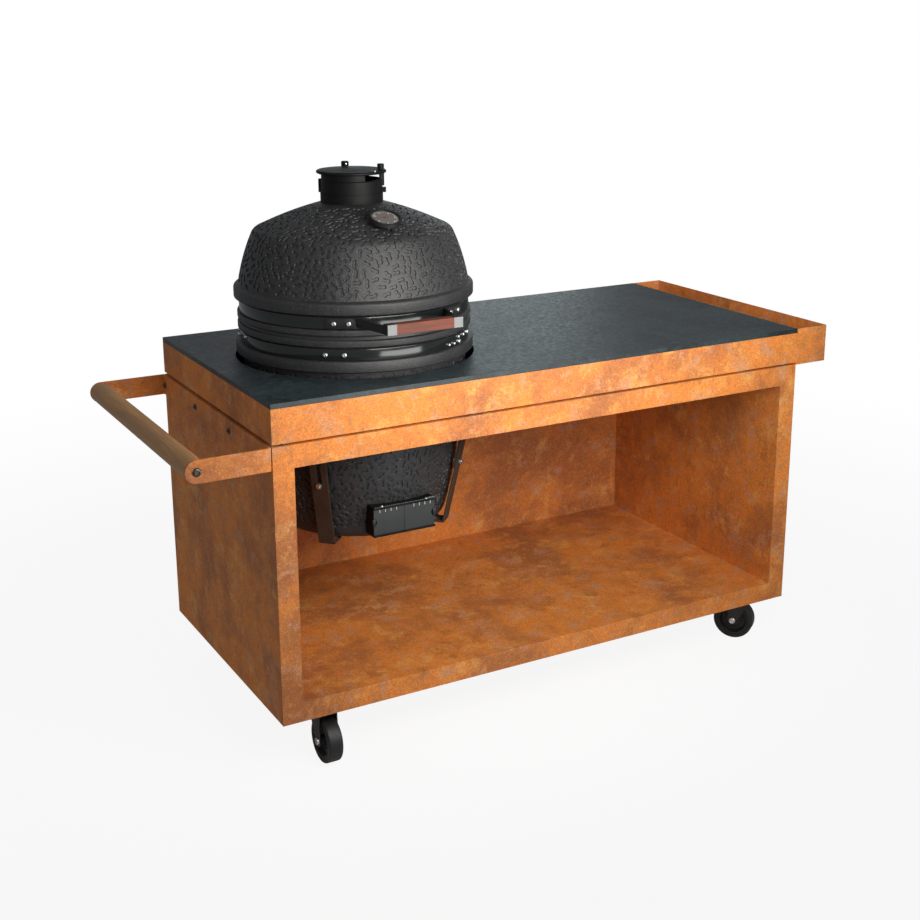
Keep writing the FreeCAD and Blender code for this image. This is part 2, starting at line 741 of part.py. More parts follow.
along_axle = TURN_AXES["x"]
plates = []
for corner, (x_text, y_text, angle) in CASTERS.items():
    swivel = Rotation(Vector(0, 0, 1), angle)
    plates.append(copy_of(caster_plate, (x_text, y_text, "0")))
    keep(group([copy_of(fork)]), f"caster_fork_{corner}", (x_text, y_text, "0"), swivel)
    sine = math.sin(math.radians(angle))
    cosine = math.cos(math.radians(angle))
    wheel_place = (f"{x_text} + caster_trail * {sine:.9f}", f"{y_text} - caster_trail * {cosine:.9f}",
                   "wheel_radius")
    keep(group([copy_of(axle)]), f"caster_axle_{corner}", wheel_place, swivel.multiply(along_axle))
    keep(group([copy_of(wheel)]), f"caster_wheel_{corner}", wheel_place, swivel.multiply(along_axle))
keep(group(plates), "caster_plates")

# Kamado base, drawn about its own axis with heights from its underside

inner_belly = "belly_radius - ceramic_wall"
inner_neck = "neck_radius - ceramic_wall"
base_shell = turned([
    ("0", "0"), ("foot_radius", "0"), ("through", "heel_round_radius", "heel_round_height"),
    ("heel_radius", "heel_height"), ("through", "belly_low_radius", "belly_low_height"),
    ("belly_radius", "belly_height"), ("neck_radius", "neck_height"),
    ("rib_radius", "rib_low_height"), ("rib_radius", "rib_top_height"), ("band_seat", "rib_top_height"),
    ("band_seat", "base_band_low + base_band_height + band_fit"),
    ("base_lip_radius", "base_lip_low"), ("base_lip_radius", "base_lip_top"),
    ("base_lip_radius - lip_chamfer", "base_rim_height"), (inner_neck, "base_rim_height"),
    (inner_neck, "neck_height"), (inner_belly, "belly_height"),
    ("heel_radius - ceramic_wall", "heel_height + ceramic_wall"),
    ("foot_radius - ceramic_wall", "ceramic_floor"), ("0", "ceramic_floor")], "base_ceramic")
draft_middle = "draft_box_low + draft_box_height / 2"
draft_hole = block(
    ("-draft_hole_width / 2", "-draft_front", f"{draft_middle} - draft_hole_height / 2"),
    ("draft_hole_width / 2", "-fire_box_foot_radius + ceramic_wall", f"{draft_middle} + draft_hole_height / 2"))
keep(cut(base_shell, draft_hole), "base_shell", KAMADO)

keep(ring("gasket_inner_radius", "gasket_outer_radius - lip_chamfer", "base_rim_height",
          "base_rim_height + base_gasket_thickness"), "base_gasket", KAMADO)

band_bolt = bolt("band_bolt_radius", "band_sheet", "band_bolt_head_radius", "band_bolt_head_height")


def on_band(angle, height):
    """Bolt square to a band, at an angle counted from the front towards the right."""
    radians = math.radians(angle)
    outward = Rotation(Vector(0, 0, 1), angle).multiply(Rotation(Vector(1, 0, 0), 90))
    return copy_of(band_bolt, (f"band_radius * {math.sin(radians):.9f}",
                               f"-band_radius * {math.cos(radians):.9f}", height), outward)


def drilled(radius, angle, height):
    """Bolt hole square to a band, through what lies between a radius and three sheets further out."""
    hole = document.addObject("Part::Cylinder", "band_hole")
    hole.setExpression("Radius", formula("band_bolt_radius + hole_clearance"))
    hole.setExpression("Height", formula("3 * band_sheet"))
    radians = math.radians(angle)
    outward = Rotation(Vector(0, 0, 1), angle).multiply(Rotation(Vector(1, 0, 0), 90))
    place(hole, (f"({radius}) * {math.sin(radians):.9f}", f"-({radius}) * {math.cos(radians):.9f}", height),
          outward)
    return hole


BASE_BOLT_ANGLES = (-97.0, -93.0, -39.0, -30.0, 36.0, 42.0, 50.0, 93.0, 97.0)
base_band_middle = "base_band_low + base_band_height / 2"
base_band = ring("band_radius - band_sheet", "band_radius", "base_band_low",
                 "base_band_low + base_band_height", "lower_band")
band_holes = [drilled("band_radius - 2 * band_sheet", angle, base_band_middle) for angle in BASE_BOLT_ANGLES]
keep(cut(base_band, *band_holes), "base_band", KAMADO)
keep(group([on_band(angle, base_band_middle) for angle in BASE_BOLT_ANGLES]), "base_band_bolts", KAMADO)

# Inside the base: fire box, fire ring and two grates

box_low = "ceramic_floor + running_gap"
fire_box = turned([
    ("0", box_low), ("fire_box_foot_radius", box_low), ("fire_box_top_radius", "fire_box_top"),
    ("fire_box_top_radius - fire_box_wall", "fire_box_top"),
    ("fire_box_foot_radius - fire_box_wall", f"{box_low} + charcoal_ledge_height"),
    ("fire_box_foot_radius - 3 * fire_box_wall", f"{box_low} + charcoal_ledge_height"),
    ("fire_box_foot_radius - 3 * fire_box_wall", f"{box_low} + fire_box_wall"),
    ("0", f"{box_low} + fire_box_wall")])
ash_slot = block(("-ash_slot_width / 2", "-fire_box_top_radius", f"{box_low} + fire_box_wall"),
                 ("ash_slot_width / 2", "0", f"{box_low} + fire_box_wall + ash_slot_height / 2"))
keep(cut(fire_box, ash_slot), "fire_box", KAMADO)

keep(turned([
    ("fire_box_top_radius - fire_box_wall", "fire_ring_low"), ("fire_box_top_radius", "fire_ring_low"),
    ("fire_ring_top_radius", "fire_ring_top"), ("fire_ring_top_radius - fire_box_wall", "fire_ring_top")]),
    "fire_ring", KAMADO)


def grate(radius, low):
    """Round grate: a flat rim with straight bars welded across its top."""
    pieces = [ring(f"{radius} - grate_rim", radius, low, f"{low} + grate_bar")]
    count = int((measure(radius) - measure("grate_rim")) / measure("grate_pitch"))
    for index in range(-count, count + 1):
        middle = f"{index} * grate_pitch"
        reach = f"sqrt(({radius} - grate_rim / 3)^2 - ({middle})^2)"
        pieces.append(block((f"{middle} - grate_bar / 2", f"-{reach}", f"{low} + grate_bar"),
                            (f"{middle} + grate_bar / 2", reach, f"{low} + 2 * grate_bar")))
    return group(pieces)


keep(grate("charcoal_grate_radius", f"{box_low} + charcoal_ledge_height + running_gap"),
     "charcoal_grate", KAMADO)
keep(grate("cooking_grate_radius", "fire_ring_top + running_gap"), "cooking_grate", KAMADO)

# Draft door: a sheet box on the base with two doors that slide apart

half_box = "draft_box_width / 2"
half_window = "draft_window_width / 2"
duct_back = "-belly_low_radius + ceramic_wall"
draft_shell = fuse(
    cut(block((f"-{half_box}", "-draft_back", "draft_box_low"), (half_box, duct_back, "draft_box_top")),
        block((f"draft_sheet - {half_box}", "draft_sheet - draft_back", "draft_box_low + draft_sheet"),
              (f"{half_box} - draft_sheet", f"{duct_back} + draft_sheet", "draft_box_top - draft_sheet")),
        block((f"-{half_window}", "-draft_front", "draft_box_low + draft_window_margin"),
              (half_window, "2 * draft_sheet - draft_back", "draft_box_top - draft_window_margin"))),
    block((f"-{half_box}", "-draft_front - running_gap - draft_sheet", "draft_box_low"),
          (half_box, "-draft_back", "draft_box_low + draft_sheet")),
    block((f"-{half_box}", "-draft_front - running_gap - draft_sheet", "draft_box_top - draft_sheet"),
          (half_box, "-draft_back", "draft_box_top")),
    block((f"-{half_box}", "-draft_front - running_gap - draft_sheet", "draft_box_low"),
          (half_box, "-draft_front - running_gap", "draft_box_low + draft_lip_height")),
    block((f"-{half_box}", "-draft_front - running_gap - draft_sheet", "draft_box_top - draft_lip_height"),
          (half_box, "-draft_front - running_gap", "draft_box_top")))
ceramic_envelope = turned([
    ("0", "heel_height - ceramic_wall"),
    ("heel_radius", "heel_height - ceramic_wall"), ("heel_radius + hole_clearance", "heel_height"),
    ("through", "belly_low_radius + hole_clearance", "belly_low_height"),
    ("belly_radius + hole_clearance", "belly_height"), ("0", "belly_height")])
keep(cut(draft_shell, ceramic_envelope), "draft_box", KAMADO)


def draft_door(side):
    inner = "running_gap / 2"
    outer = f"({inner} + draft_door_width)"
    low_x, high_x = (inner, outer) if side > 0 else (f"-{outer}", f"-{inner}")
    door = block((low_x, "-draft_front", "draft_door_low"),
                 (high_x, "draft_door_thickness - draft_front", "draft_door_top"))
    finger = cylinder("draft_finger_radius", "draft_door_thickness + 2",
                      (f"{side} * {outer}", "-draft_front - 1", draft_middle), "y")
    return cut(door, finger)


keep(draft_door(-1), "left_draft_door", KAMADO)
keep(draft_door(1), "right_draft_door", KAMADO)

# Hangers: four sloping straps in two lengths, bolted where they overlap

lower_face = "(hanger_heel_radius - hanger_slope * hanger_foot_low)"


def strap_radius(height, inset="0"):
    """Radius of the strap's outer face at a height, less an inset."""
    return f"{lower_face} + hanger_slope * ({height}) - ({inset})"


lower_strap = padded("XZ_Plane", [
    ("hanger_foot_reach", "hanger_foot_low"), (strap_radius("hanger_foot_low"), "hanger_foot_low"),
    (strap_radius("lower_hanger_top"), "lower_hanger_top"),
    (strap_radius("lower_hanger_top", "hanger_thickness"), "lower_hanger_top"),
    (strap_radius("hanger_pad_low", "hanger_thickness"), "hanger_pad_low"),
    ("hanger_foot_reach", "hanger_pad_low")], "hanger_width")
strap_slot = block(
    ("hanger_foot_reach", "-hanger_slot_width / 2", "hanger_bolt_height - hanger_slot_width / 2"),
    ("hanger_flange_reach", "hanger_slot_width / 2", "lower_hanger_top - hanger_slot_width"))
HANGER_ANGLES = (45, 135, 225, 315)
keep(around(cut(lower_strap, strap_slot), HANGER_ANGLES), "lower_hanger_straps", KAMADO)

upper_outer = "hanger_thickness"
upper_inner = "hanger_thickness + upper_hanger_thickness"
upper_strap = padded("XZ_Plane", [
    (strap_radius("upper_hanger_low", upper_inner), "upper_hanger_low"),
    (strap_radius("upper_hanger_low", upper_outer), "upper_hanger_low"),
    (strap_radius("plate_low_on_body - upper_hanger_thickness", upper_outer),
     "plate_low_on_body - upper_hanger_thickness"),
    ("hanger_flange_reach", "plate_low_on_body - upper_hanger_thickness"),
    ("hanger_flange_reach", "plate_low_on_body"),
    (strap_radius("plate_low_on_body", upper_inner), "plate_low_on_body")], "hanger_width")
slope_turn = Rotation(Vector(0, 1, 0), 90 + math.degrees(math.atan(measure("hanger_slope"))))
strap_holes = []
for index in range(12):
    height = f"hanger_bolt_height + {index} * hanger_hole_pitch"
    hole = document.addObject("Part::Cylinder", "strap_hole")
    hole.setExpression("Radius", formula("hanger_hole_radius"))
    hole.setExpression("Height", formula("6 * upper_hanger_thickness"))
    place(hole, (strap_radius(height, f"{upper_inner} + upper_hanger_thickness"), "0",
                 f"{height} + hanger_slope * upper_hanger_thickness"), slope_turn)
    strap_holes.append(hole)
keep(around(cut(upper_strap, *strap_holes), HANGER_ANGLES), "upper_hanger_straps", KAMADO)

hanger_bolt = turned([
    ("0", "-hanger_bolt_head_height"), ("hanger_bolt_head_radius", "-hanger_bolt_head_height"),
    ("hanger_bolt_head_radius", "0"), ("hanger_bolt_radius", "0"),
    ("hanger_bolt_radius", "hanger_thickness + upper_hanger_thickness"),
    ("hanger_bolt_head_radius", "hanger_thickness + upper_hanger_thickness"),
    ("hanger_bolt_head_radius", "hanger_thickness + upper_hanger_thickness + hanger_bolt_head_height"),
    ("hanger_bolt_radius", "hanger_thickness + upper_hanger_thickness + hanger_bolt_head_height"),
    ("hanger_bolt_radius", "hanger_thickness + upper_hanger_thickness + 2 * hanger_bolt_head_height"),
    ("0", "hanger_thickness + upper_hanger_thickness + 2 * hanger_bolt_head_height")])
place(hanger_bolt, (strap_radius("hanger_bolt_height", upper_inner), "0", "hanger_bolt_height"), slope_turn)
keep(around(group([hanger_bolt]), HANGER_ANGLES), "hanger_bolts", KAMADO)

hanger_pad = block(
    ("hanger_foot_reach", "-hanger_pad_side / 2", "hanger_pad_low"),
    ("hanger_foot_reach + hanger_pad_side", "hanger_pad_side / 2", "0"))
keep(around(group([hanger_pad]), HANGER_ANGLES), "hanger_pads", KAMADO)

# Kamado lid

inner_cone = "cone_mid_height - lid_wall"
lid_shell = turned([
    (inner_neck, "lid_bottom"), ("base_lip_radius - lip_chamfer", "lid_bottom"),
    ("base_lip_radius", "lid_lip_low"), ("base_lip_radius", "lid_lip_top"), ("band_seat", "lid_lip_top"),
    ("band_seat", "lid_band_low + lid_band_height + band_fit"),
    ("collar_radius", "collar_low"), ("collar_radius", "collar_top"),
    ("through", "collar_radius - collar_round * 0.3", "collar_top + collar_round * 0.7"),
    ("collar_radius - collar_round", "collar_top + collar_round"),
    ("dome_foot_radius", "dome_foot_height"), ("through", "dome_side_radius", "dome_side_height"),
    ("shoulder_low_radius", "shoulder_low_height"),
    ("through", "shoulder_mid_radius", "shoulder_mid_height"),
    ("shoulder_top_radius", "shoulder_top_height"), ("through", "cone_mid_radius", "cone_mid_height"),
    ("vent_hole_radius", "crown_height"), ("vent_hole_radius", "crown_height - lid_wall"),
    ("through", "cone_mid_radius - lid_wall / 3", inner_cone),
    ("shoulder_top_radius - lid_wall / 2", "shoulder_top_height - lid_wall"),
    ("shoulder_low_radius - lid_wall", "shoulder_low_height - lid_wall"),
    ("through", "dome_side_radius - lid_wall", "dome_side_height"),
    (inner_neck, "dome_foot_height - lid_wall")], "lid_ceramic")
tilt = Rotation(Vector(1, 0, 0), measure("thermometer_tilt"))
stem_hole = document.addObject("Part::Cylinder", "stem_hole")
stem_hole.setExpression("Radius", formula("stem_radius + hole_clearance"))
stem_hole.setExpression("Height", formula("2 * stem_length"))
THERMOMETER = ("0", "-thermometer_radius - thermometer_lift * sin(thermometer_tilt)",
               "thermometer_height + thermometer_lift * cos(thermometer_tilt)")
place(stem_hole, ("0", "-thermometer_radius + stem_length * sin(thermometer_tilt)",
                  "thermometer_height - stem_length * cos(thermometer_tilt)"), tilt)
keep(cut(lid_shell, stem_hole), "lid_shell", KAMADO)

keep(ring("band_radius - band_sheet", "band_radius", "lid_band_low", "lid_band_low + lid_band_height",
          "upper_band"), "lid_band", KAMADO)
keep(ring("gasket_inner_radius", "gasket_outer_radius - lip_chamfer", "lid_bottom - lid_gasket_thickness",
          "lid_bottom"), "lid_gasket", KAMADO)

# Lid handle: flanges on the band, arms, end blocks, steel end plates and a square wooden grip

half_grip = "grip_length / 2"
block_outer = f"({half_grip} + end_plate_width)"
grip_low = "grip_centre_height - grip_height / 2"
grip_top = "grip_centre_height + grip_height / 2"
flange_outer = "band_radius + running_gap + arm_flange_thickness"
root_sine = "sin(arm_flange_angle - arm_flange_span / 2)"
root_cosine = "cos(arm_flange_angle - arm_flange_span / 2)"


def handle_arm(side):
    """One arm: a curved flange on the band, a flat bar from the flange's inner end and an end block."""
    flange_middle = "lid_band_low + lid_band_height / 2"
    sector = document.addObject("Part::Cylinder", "sector")
    sector.setExpression("Radius", formula(flange_outer))
    sector.setExpression("Height", formula("arm_flange_height"))
    sector.setExpression("Angle", formula("arm_flange_span"))
    start = -90 + side * measure("arm_flange_angle") - measure("arm_flange_span") / 2
    place(sector, ("0", "0", f"{flange_middle} - arm_flange_height / 2"), Rotation(Vector(0, 0, 1), start))
    root_x = f"band_radius * {root_sine}"
    root_y = f"-band_radius * {root_cosine}"
    end_y = "-grip_front + end_plate_thickness + end_block_depth"
    arm = padded("XY_Plane", [
        (f"{side} * {root_x}", root_y), (f"{side} * ({root_x} + arm_thickness)", root_y),
        (f"{side} * {block_outer}", end_y),
        (f"{side} * ({block_outer} - arm_thickness)", end_y)], "arm_height")
    place(arm, ("0", "0", "grip_centre_height - (grip_height - arm_height) / 2"))
    near, far = sorted((f"{side} * {half_grip}", f"{side} * {block_outer}"), key=measure)
    end_block = block((near, "-grip_front + end_plate_thickness", grip_low), (far, end_y, grip_top))
    band_void = cylinder("band_radius + running_gap / 2", "2 * lid_band_height",
                         ("0", "0", "lid_band_low - lid_band_height / 2"))
    holes = [drilled("band_radius", side * measure("arm_flange_angle") + spread * measure("arm_bolt_spread"),
                     flange_middle) for spread in (-1, 1)]
    return cut(fuse(sector, arm, end_block), band_void, *holes)


keep(group([handle_arm(-1), handle_arm(1)]), "lid_handle_arms", KAMADO)

end_plates = []
for side in (-1, 1):
    near, far = sorted((f"{side} * {half_grip}", f"{side} * {block_outer}"), key=measure)
    end_plates.append(block(
        (near, "-grip_front", grip_low), (far, "-grip_front + end_plate_thickness", grip_top)))
keep(group(end_plates), "lid_handle_plates", KAMADO)
grip = block((f"-{half_grip}", "-grip_front", grip_low), (half_grip, "-grip_front + grip_depth", grip_top))
keep(group([grip]), "lid_handle_grip", KAMADO)

flange_bolt = bolt("band_bolt_radius", "arm_flange_thickness", "band_bolt_head_radius", "band_bolt_head_height")
lid_bolts = []
for side in (-1, 1):
    for spread in (-1, 1):
        angle = side * measure("arm_flange_angle") + spread * measure("arm_bolt_spread")
        radians = math.radians(angle)
        outward = Rotation(Vector(0, 0, 1), angle).multiply(Rotation(Vector(1, 0, 0), 90))
        lid_bolts.append(copy_of(
            flange_bolt, (f"({flange_outer}) * {math.sin(radians):.9f}",
                          f"-({flange_outer}) * {math.cos(radians):.9f}",
                          "lid_band_low + lid_band_height / 2"), outward))
keep(group(lid_bolts), "lid_band_bolts", KAMADO)

# Rear hinge: two forked brackets on one pin


def hinge_bracket(ear_inner, band_low, band_height, ear_outline, pin_hole):
    plate_reach = f"({ear_inner} + hinge_ear_sheet)"
    back_plate = cut(
        block((f"-{plate_reach}", "band_radius - hinge_plate_thickness", band_low),
              (plate_reach, "band_radius + hinge_plate_thickness", f"{band_low} + {band_height}")),
        cylinder("band_radius + band_fit", f"2 * {band_height}", ("0", "0", f"{band_low} - {band_height} / 2")))
    ears = []
    for side in (-1, 1):
        ear = padded("YZ_Plane", ear_outline, "hinge_ear_sheet")
        ears.append(place(ear, (f"{side} * ({ear_inner} + hinge_ear_sheet / 2)", "0", "0")))
    bore = cylinder(pin_hole, f"2 * {plate_reach} + 4",
                    (f"-{plate_reach} - 2", "hinge_pin_offset", "hinge_pin_height"), "x")
    return cut(fuse(back_plate, *ears), bore)


eye_near = "hinge_pin_offset - hinge_eye_radius"
eye_far = "hinge_pin_offset + hinge_eye_radius"
plate_back = "band_radius + hinge_plate_thickness / 2"
base_ear = [
    (plate_back, "base_band_low"), ("hinge_pin_offset - 2 * hinge_eye_radius", "base_band_low"),
    (eye_far, "hinge_pin_height"), ("through", "hinge_pin_offset", "hinge_pin_height + hinge_eye_radius"),
    (eye_near, "hinge_pin_height"), (plate_back, "base_band_low + base_band_height")]
keep(hinge_bracket("base_ear_inner", "base_band_low", "base_band_height", base_ear,
                   "hinge_pin_radius + bearing_clearance"), "hinge_base_bracket", KAMADO)
lid_ear = [
    (plate_back, "lid_band_low + lid_band_height"), (plate_back, "lid_band_low"),
    (eye_near, "hinge_pin_height"), ("through", "hinge_pin_offset", "hinge_pin_height - hinge_eye_radius"),
    (eye_far, "hinge_pin_height"),
    ("hinge_pin_offset - 2 * hinge_eye_radius", "lid_band_low + lid_band_height")]
keep(hinge_bracket("lid_ear_inner", "lid_band_low", "lid_band_height", lid_ear,
                   "hinge_pin_radius + bearing_clearance"), "hinge_lid_bracket", KAMADO)

pin_end = "base_ear_inner + hinge_ear_sheet"
hinge_pin = turned([
    ("0", f"-({pin_end} + hinge_pin_head)"), ("hinge_pin_head_radius", f"-({pin_end} + hinge_pin_head)"),
    ("hinge_pin_head_radius", f"-({pin_end})"), ("hinge_pin_radius", f"-({pin_end})"),
    ("hinge_pin_radius", pin_end), ("hinge_pin_head_radius", pin_end),
    ("hinge_pin_head_radius", f"{pin_end} + hinge_pin_head"), ("0", f"{pin_end} + hinge_pin_head")])
keep(hinge_pin, "hinge_pin", ("kamado_x", "hinge_pin_offset", "body_bottom + hinge_pin_height"),
     TURN_AXES["x"])

# Thermometer, square to the cone of the lid

ON_LID = ("kamado_x", THERMOMETER[1], f"body_bottom + {THERMOMETER[2]}")
dial_seat = "bezel_height - dial_depth - dial_thickness"
dial_radius = "bezel_radius - bezel_rim"
keep(turned([
    ("0", "-stem_length"), ("stem_radius", "-stem_length"), ("stem_radius", "0"),
    (dial_radius, "0"), ("bezel_radius", "bezel_rim / 2"), ("bezel_radius", "bezel_height"),
    (dial_radius, "bezel_height"), (dial_radius, dial_seat), ("0", dial_seat)]),
    "thermometer_case", ON_LID, tilt)
keep(turned([
    ("0", dial_seat), (f"{dial_radius} - hole_clearance", dial_seat),
    (f"{dial_radius} - hole_clearance", f"{dial_seat} + dial_thickness"),
    ("0", f"{dial_seat} + dial_thickness")]), "thermometer_dial", ON_LID, tilt)
needle_low = f"{dial_seat} + dial_thickness + running_gap"
keep(fuse(
    cylinder("needle_hub_radius", "dial_depth / 2", ("0", "0", needle_low)),
    block(("-needle_length", "-needle_width / 2", needle_low),
          ("needle_length / 4", "needle_width / 2", f"{needle_low} + dial_depth / 4"))),
    "thermometer_needle", ON_LID, tilt)

# Vent: base drum, turning ring with a window, and a cap that swings about its pin

keep(turned([
    ("vent_bore_radius", "crown_height - vent_sleeve_depth"),
    ("vent_hole_radius - running_gap", "crown_height - vent_sleeve_depth"),
    ("vent_hole_radius - running_gap", "vent_seat"), ("vent_drum_radius", "vent_seat - vent_wall"),
    ("vent_drum_radius", "drum_top"), ("ring_inner - running_gap", "drum_top"),
    ("ring_inner - running_gap", "drum_top + vent_neck_height"),
    ("ring_inner - running_gap - vent_wall", "drum_top + vent_neck_height"),
    ("ring_inner - running_gap - vent_wall", "drum_top - vent_wall"),
    ("vent_bore_radius", "drum_top - 2 * vent_wall")]), "vent_base", KAMADO)

ring_turn = Rotation(Vector(0, 0, 1), measure("ring_turn"))
ring_blank = turned([
    ("ring_inner", "ring_low"), ("ring_inner + ring_wall", "ring_low"),
    ("ring_inner + ring_wall", "ring_shoulder - 2"), ("ring_inner + ring_crown_wall", "ring_shoulder"),
    ("ring_inner + ring_crown_wall", "ring_top"), ("ring_inner", "ring_top")])
window = block(("ring_window_offset", "-2 * cap_radius", "ring_shoulder"),
               ("2 * cap_radius", "2 * cap_radius", "ring_top + 1"))
post = cut(
    cylinder("post_radius", "ring_top - ring_low - ring_height / 2",
             ("cap_pivot_offset", "0", "ring_low + ring_height / 2")),
    cylinder("ring_inner", "ring_top", ("0", "0", "1")))
left_lug = block(("-left_lug_reach", "-lug_width / 2", "ring_low"),
                 ("-ring_inner - ring_wall / 2", "lug_width / 2", "ring_shoulder"))
right_lug = block(("ring_inner + ring_wall / 2", "-lug_width / 2", "ring_low"),
                  ("right_lug_reach", "lug_width / 2", "ring_low + right_lug_height"))
pin_bore = cylinder("pivot_pin_radius + bearing_clearance", "pivot_pin_depth + 1",
                    ("cap_pivot_offset", "0", "ring_top - pivot_pin_depth"))
keep(cut(fuse(cut(ring_blank, window), post, left_lug, right_lug), pin_bore), "vent_ring", KAMADO, ring_turn)

cap_shoulder = "cap_low + cap_edge_height"
cap_blank = turned([
    ("0", "cap_low"), ("cap_radius - 2", "cap_low"), ("cap_radius", "cap_low + 2"),
    ("cap_radius", f"{cap_shoulder} - 2"), ("cap_radius - 3", cap_shoulder), ("0", "cap_top")])
keep(cut(cap_blank, cylinder("pivot_pin_radius + bearing_clearance", "2 * cap_edge_height",
                             ("cap_pivot_offset", "0", "cap_low - 1"))), "vent_cap", KAMADO, ring_turn)

head_low = "cap_top - cap_dome_height / 2"
pivot_pin = turned([
    ("0", "ring_top - pivot_pin_depth + 1"), ("pivot_pin_radius", "ring_top - pivot_pin_depth + 1"),
    ("pivot_pin_radius", head_low), ("pivot_head_radius", head_low),
    ("pivot_head_radius", f"{head_low} + pivot_head_height - 1"),
    ("pivot_head_radius - 1", f"{head_low} + pivot_head_height"), ("0", f"{head_low} + pivot_head_height")])
keep(group([copy_of(pivot_pin, ("cap_pivot_offset", "0", "0"))]), "vent_pivot_pin", KAMADO, ring_turn)

knob = turned([
    ("0", head_low), ("knob_radius", head_low), ("knob_radius", f"{head_low} + knob_height - 1.5"),
    ("knob_radius - 1.5", f"{head_low} + knob_height"), ("0", f"{head_low} + knob_height")])
keep(group([copy_of(knob, ("knob_offset", "0", "0"))]), "vent_knob", KAMADO,
     Rotation(Vector(0, 0, 1), measure("knob_turn")))

document.recompute()

for item in document.Objects:
    broken = [state for state in item.State if state in ("Invalid", "Error")]
    if broken:
        raise RuntimeError(f"{item.Label} ({item.Name}) did not build: {item.State}")
for feature in sub_parts:
    if feature.Shape.isNull() or not feature.Shape.isValid():
        raise RuntimeError(f"{feature.Label} has no valid shape")

os.makedirs("parts", exist_ok=True)
for feature in sub_parts:
    feature.Shape.exportStep(os.path.join("parts", feature.Label + ".step"))
    size = feature.Shape.BoundBox
    print(f"{feature.Label}: {len(feature.Shape.Solids)} solid(s), "
          f"{size.XLength:.1f} x {size.YLength:.1f} x {size.ZLength:.1f} mm")
print(f"{len(sub_parts)} sub-parts")
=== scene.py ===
# %% [markdown]
# # A kamado grill table
# The object is a wheeled table of weathering steel with a slate-coloured worktop. A ceramic grill
# hangs in a round cut-out at the left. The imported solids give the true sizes, and this script
# dresses them: finer shapes where the real piece has a form that the solids leave plain, and a
# material for every surface.

import bisect
import math
import random

import bmesh
import bpy
from mathutils import Matrix, Vector
from mathutils.geometry import delaunay_2d_cdt


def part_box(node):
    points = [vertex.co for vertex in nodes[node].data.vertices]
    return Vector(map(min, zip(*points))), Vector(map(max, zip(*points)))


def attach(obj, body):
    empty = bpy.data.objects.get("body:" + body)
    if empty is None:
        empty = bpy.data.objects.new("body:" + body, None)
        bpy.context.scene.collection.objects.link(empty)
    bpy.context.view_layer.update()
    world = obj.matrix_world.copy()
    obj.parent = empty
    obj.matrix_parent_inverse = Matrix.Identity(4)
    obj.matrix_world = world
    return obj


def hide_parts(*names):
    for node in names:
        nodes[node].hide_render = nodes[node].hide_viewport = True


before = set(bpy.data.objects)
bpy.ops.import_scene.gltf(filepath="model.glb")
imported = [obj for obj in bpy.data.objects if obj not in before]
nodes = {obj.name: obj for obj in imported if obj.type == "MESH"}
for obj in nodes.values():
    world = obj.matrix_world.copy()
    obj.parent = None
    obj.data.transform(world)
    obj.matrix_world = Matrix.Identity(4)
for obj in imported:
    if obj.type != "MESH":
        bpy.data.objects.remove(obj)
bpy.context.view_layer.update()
MM = 0.001
band_low, band_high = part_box("base_band")
GRILL_X = (band_low.x + band_high.x) / 2
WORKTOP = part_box("worktop_slab")[1].z
GRILL_FOOT = WORKTOP - 408 * MM  # the grill's own heights count from its foot
print("grill axis at x", round(GRILL_X, 4), "worktop at z", round(WORKTOP, 4))

# %% [markdown]
# ## The camera
# A product picture like this is taken from a little above the worktop, far enough away to keep the
# long edges nearly parallel. The place, the turn and the lens below were solved from the corners
# of the table, so the render lies on the picture. The small lens shift does what a picture
# editor's crop does: it moves the frame without turning the camera.

# %% Camera
camera_data = bpy.data.cameras.new("picture_camera")
camera_data.sensor_width = 36.0
camera_data.lens = 54.99
camera_data.shift_x = -0.02307
camera_data.shift_y = -0.06497
camera_data.clip_end = 60.0
camera = bpy.data.objects.new("picture_camera", camera_data)
camera.location = (-1.70345, -3.0213, 1.6732)
camera.rotation_euler = (math.radians(90 - 15.547), 0.0, math.radians(-29.944))
bpy.context.scene.collection.objects.link(camera)
bpy.context.scene.camera = camera

# %% [markdown]
# ## Floor, sky and lamps
# The studio is a wide pale floor under a pale sky. Seen straight by the camera both are white, and
# the floor keeps the soft shadow of the table. One large lamp stands close in front, so the front
# is brightest in its upper middle and the left side lies in shade. A second lamp behind draws the
# sheen on the worktop, and a low strip gives the black bands of the grill something bright to
# mirror.


# %% Small helpers for shader nodes
def add_node(tree, kind, settings=None, **sockets):
    """New shader node: settings are its own properties, sockets are constants or links by name."""
    node = tree.nodes.new(kind)
    for name, value in (settings or {}).items():
        setattr(node, name, value)
    for name, value in sockets.items():
        key = int(name[1:]) if name[0] == "n" and name[1:].isdigit() else name.replace("_", " ")
        if isinstance(value, bpy.types.NodeSocket):
            tree.links.new(value, node.inputs[key])
        else:
            node.inputs[key].default_value = value
    return node


def multiply(tree, first, second):
    """Product of two values."""
    return add_node(tree, "ShaderNodeMath", {"operation": "MULTIPLY"},
                    n0=first, n1=second).outputs[0]


def remap(tree, value, low, high, new_low=0.0, new_high=1.0):
    """Smooth step of a value from one range to another; low may lie above high."""
    ranged = add_node(tree, "ShaderNodeMapRange", {"interpolation_type": "SMOOTHSTEP"},
                      Value=value, From_Min=low, From_Max=high, To_Min=new_low, To_Max=new_high)
    return ranged.outputs[0]


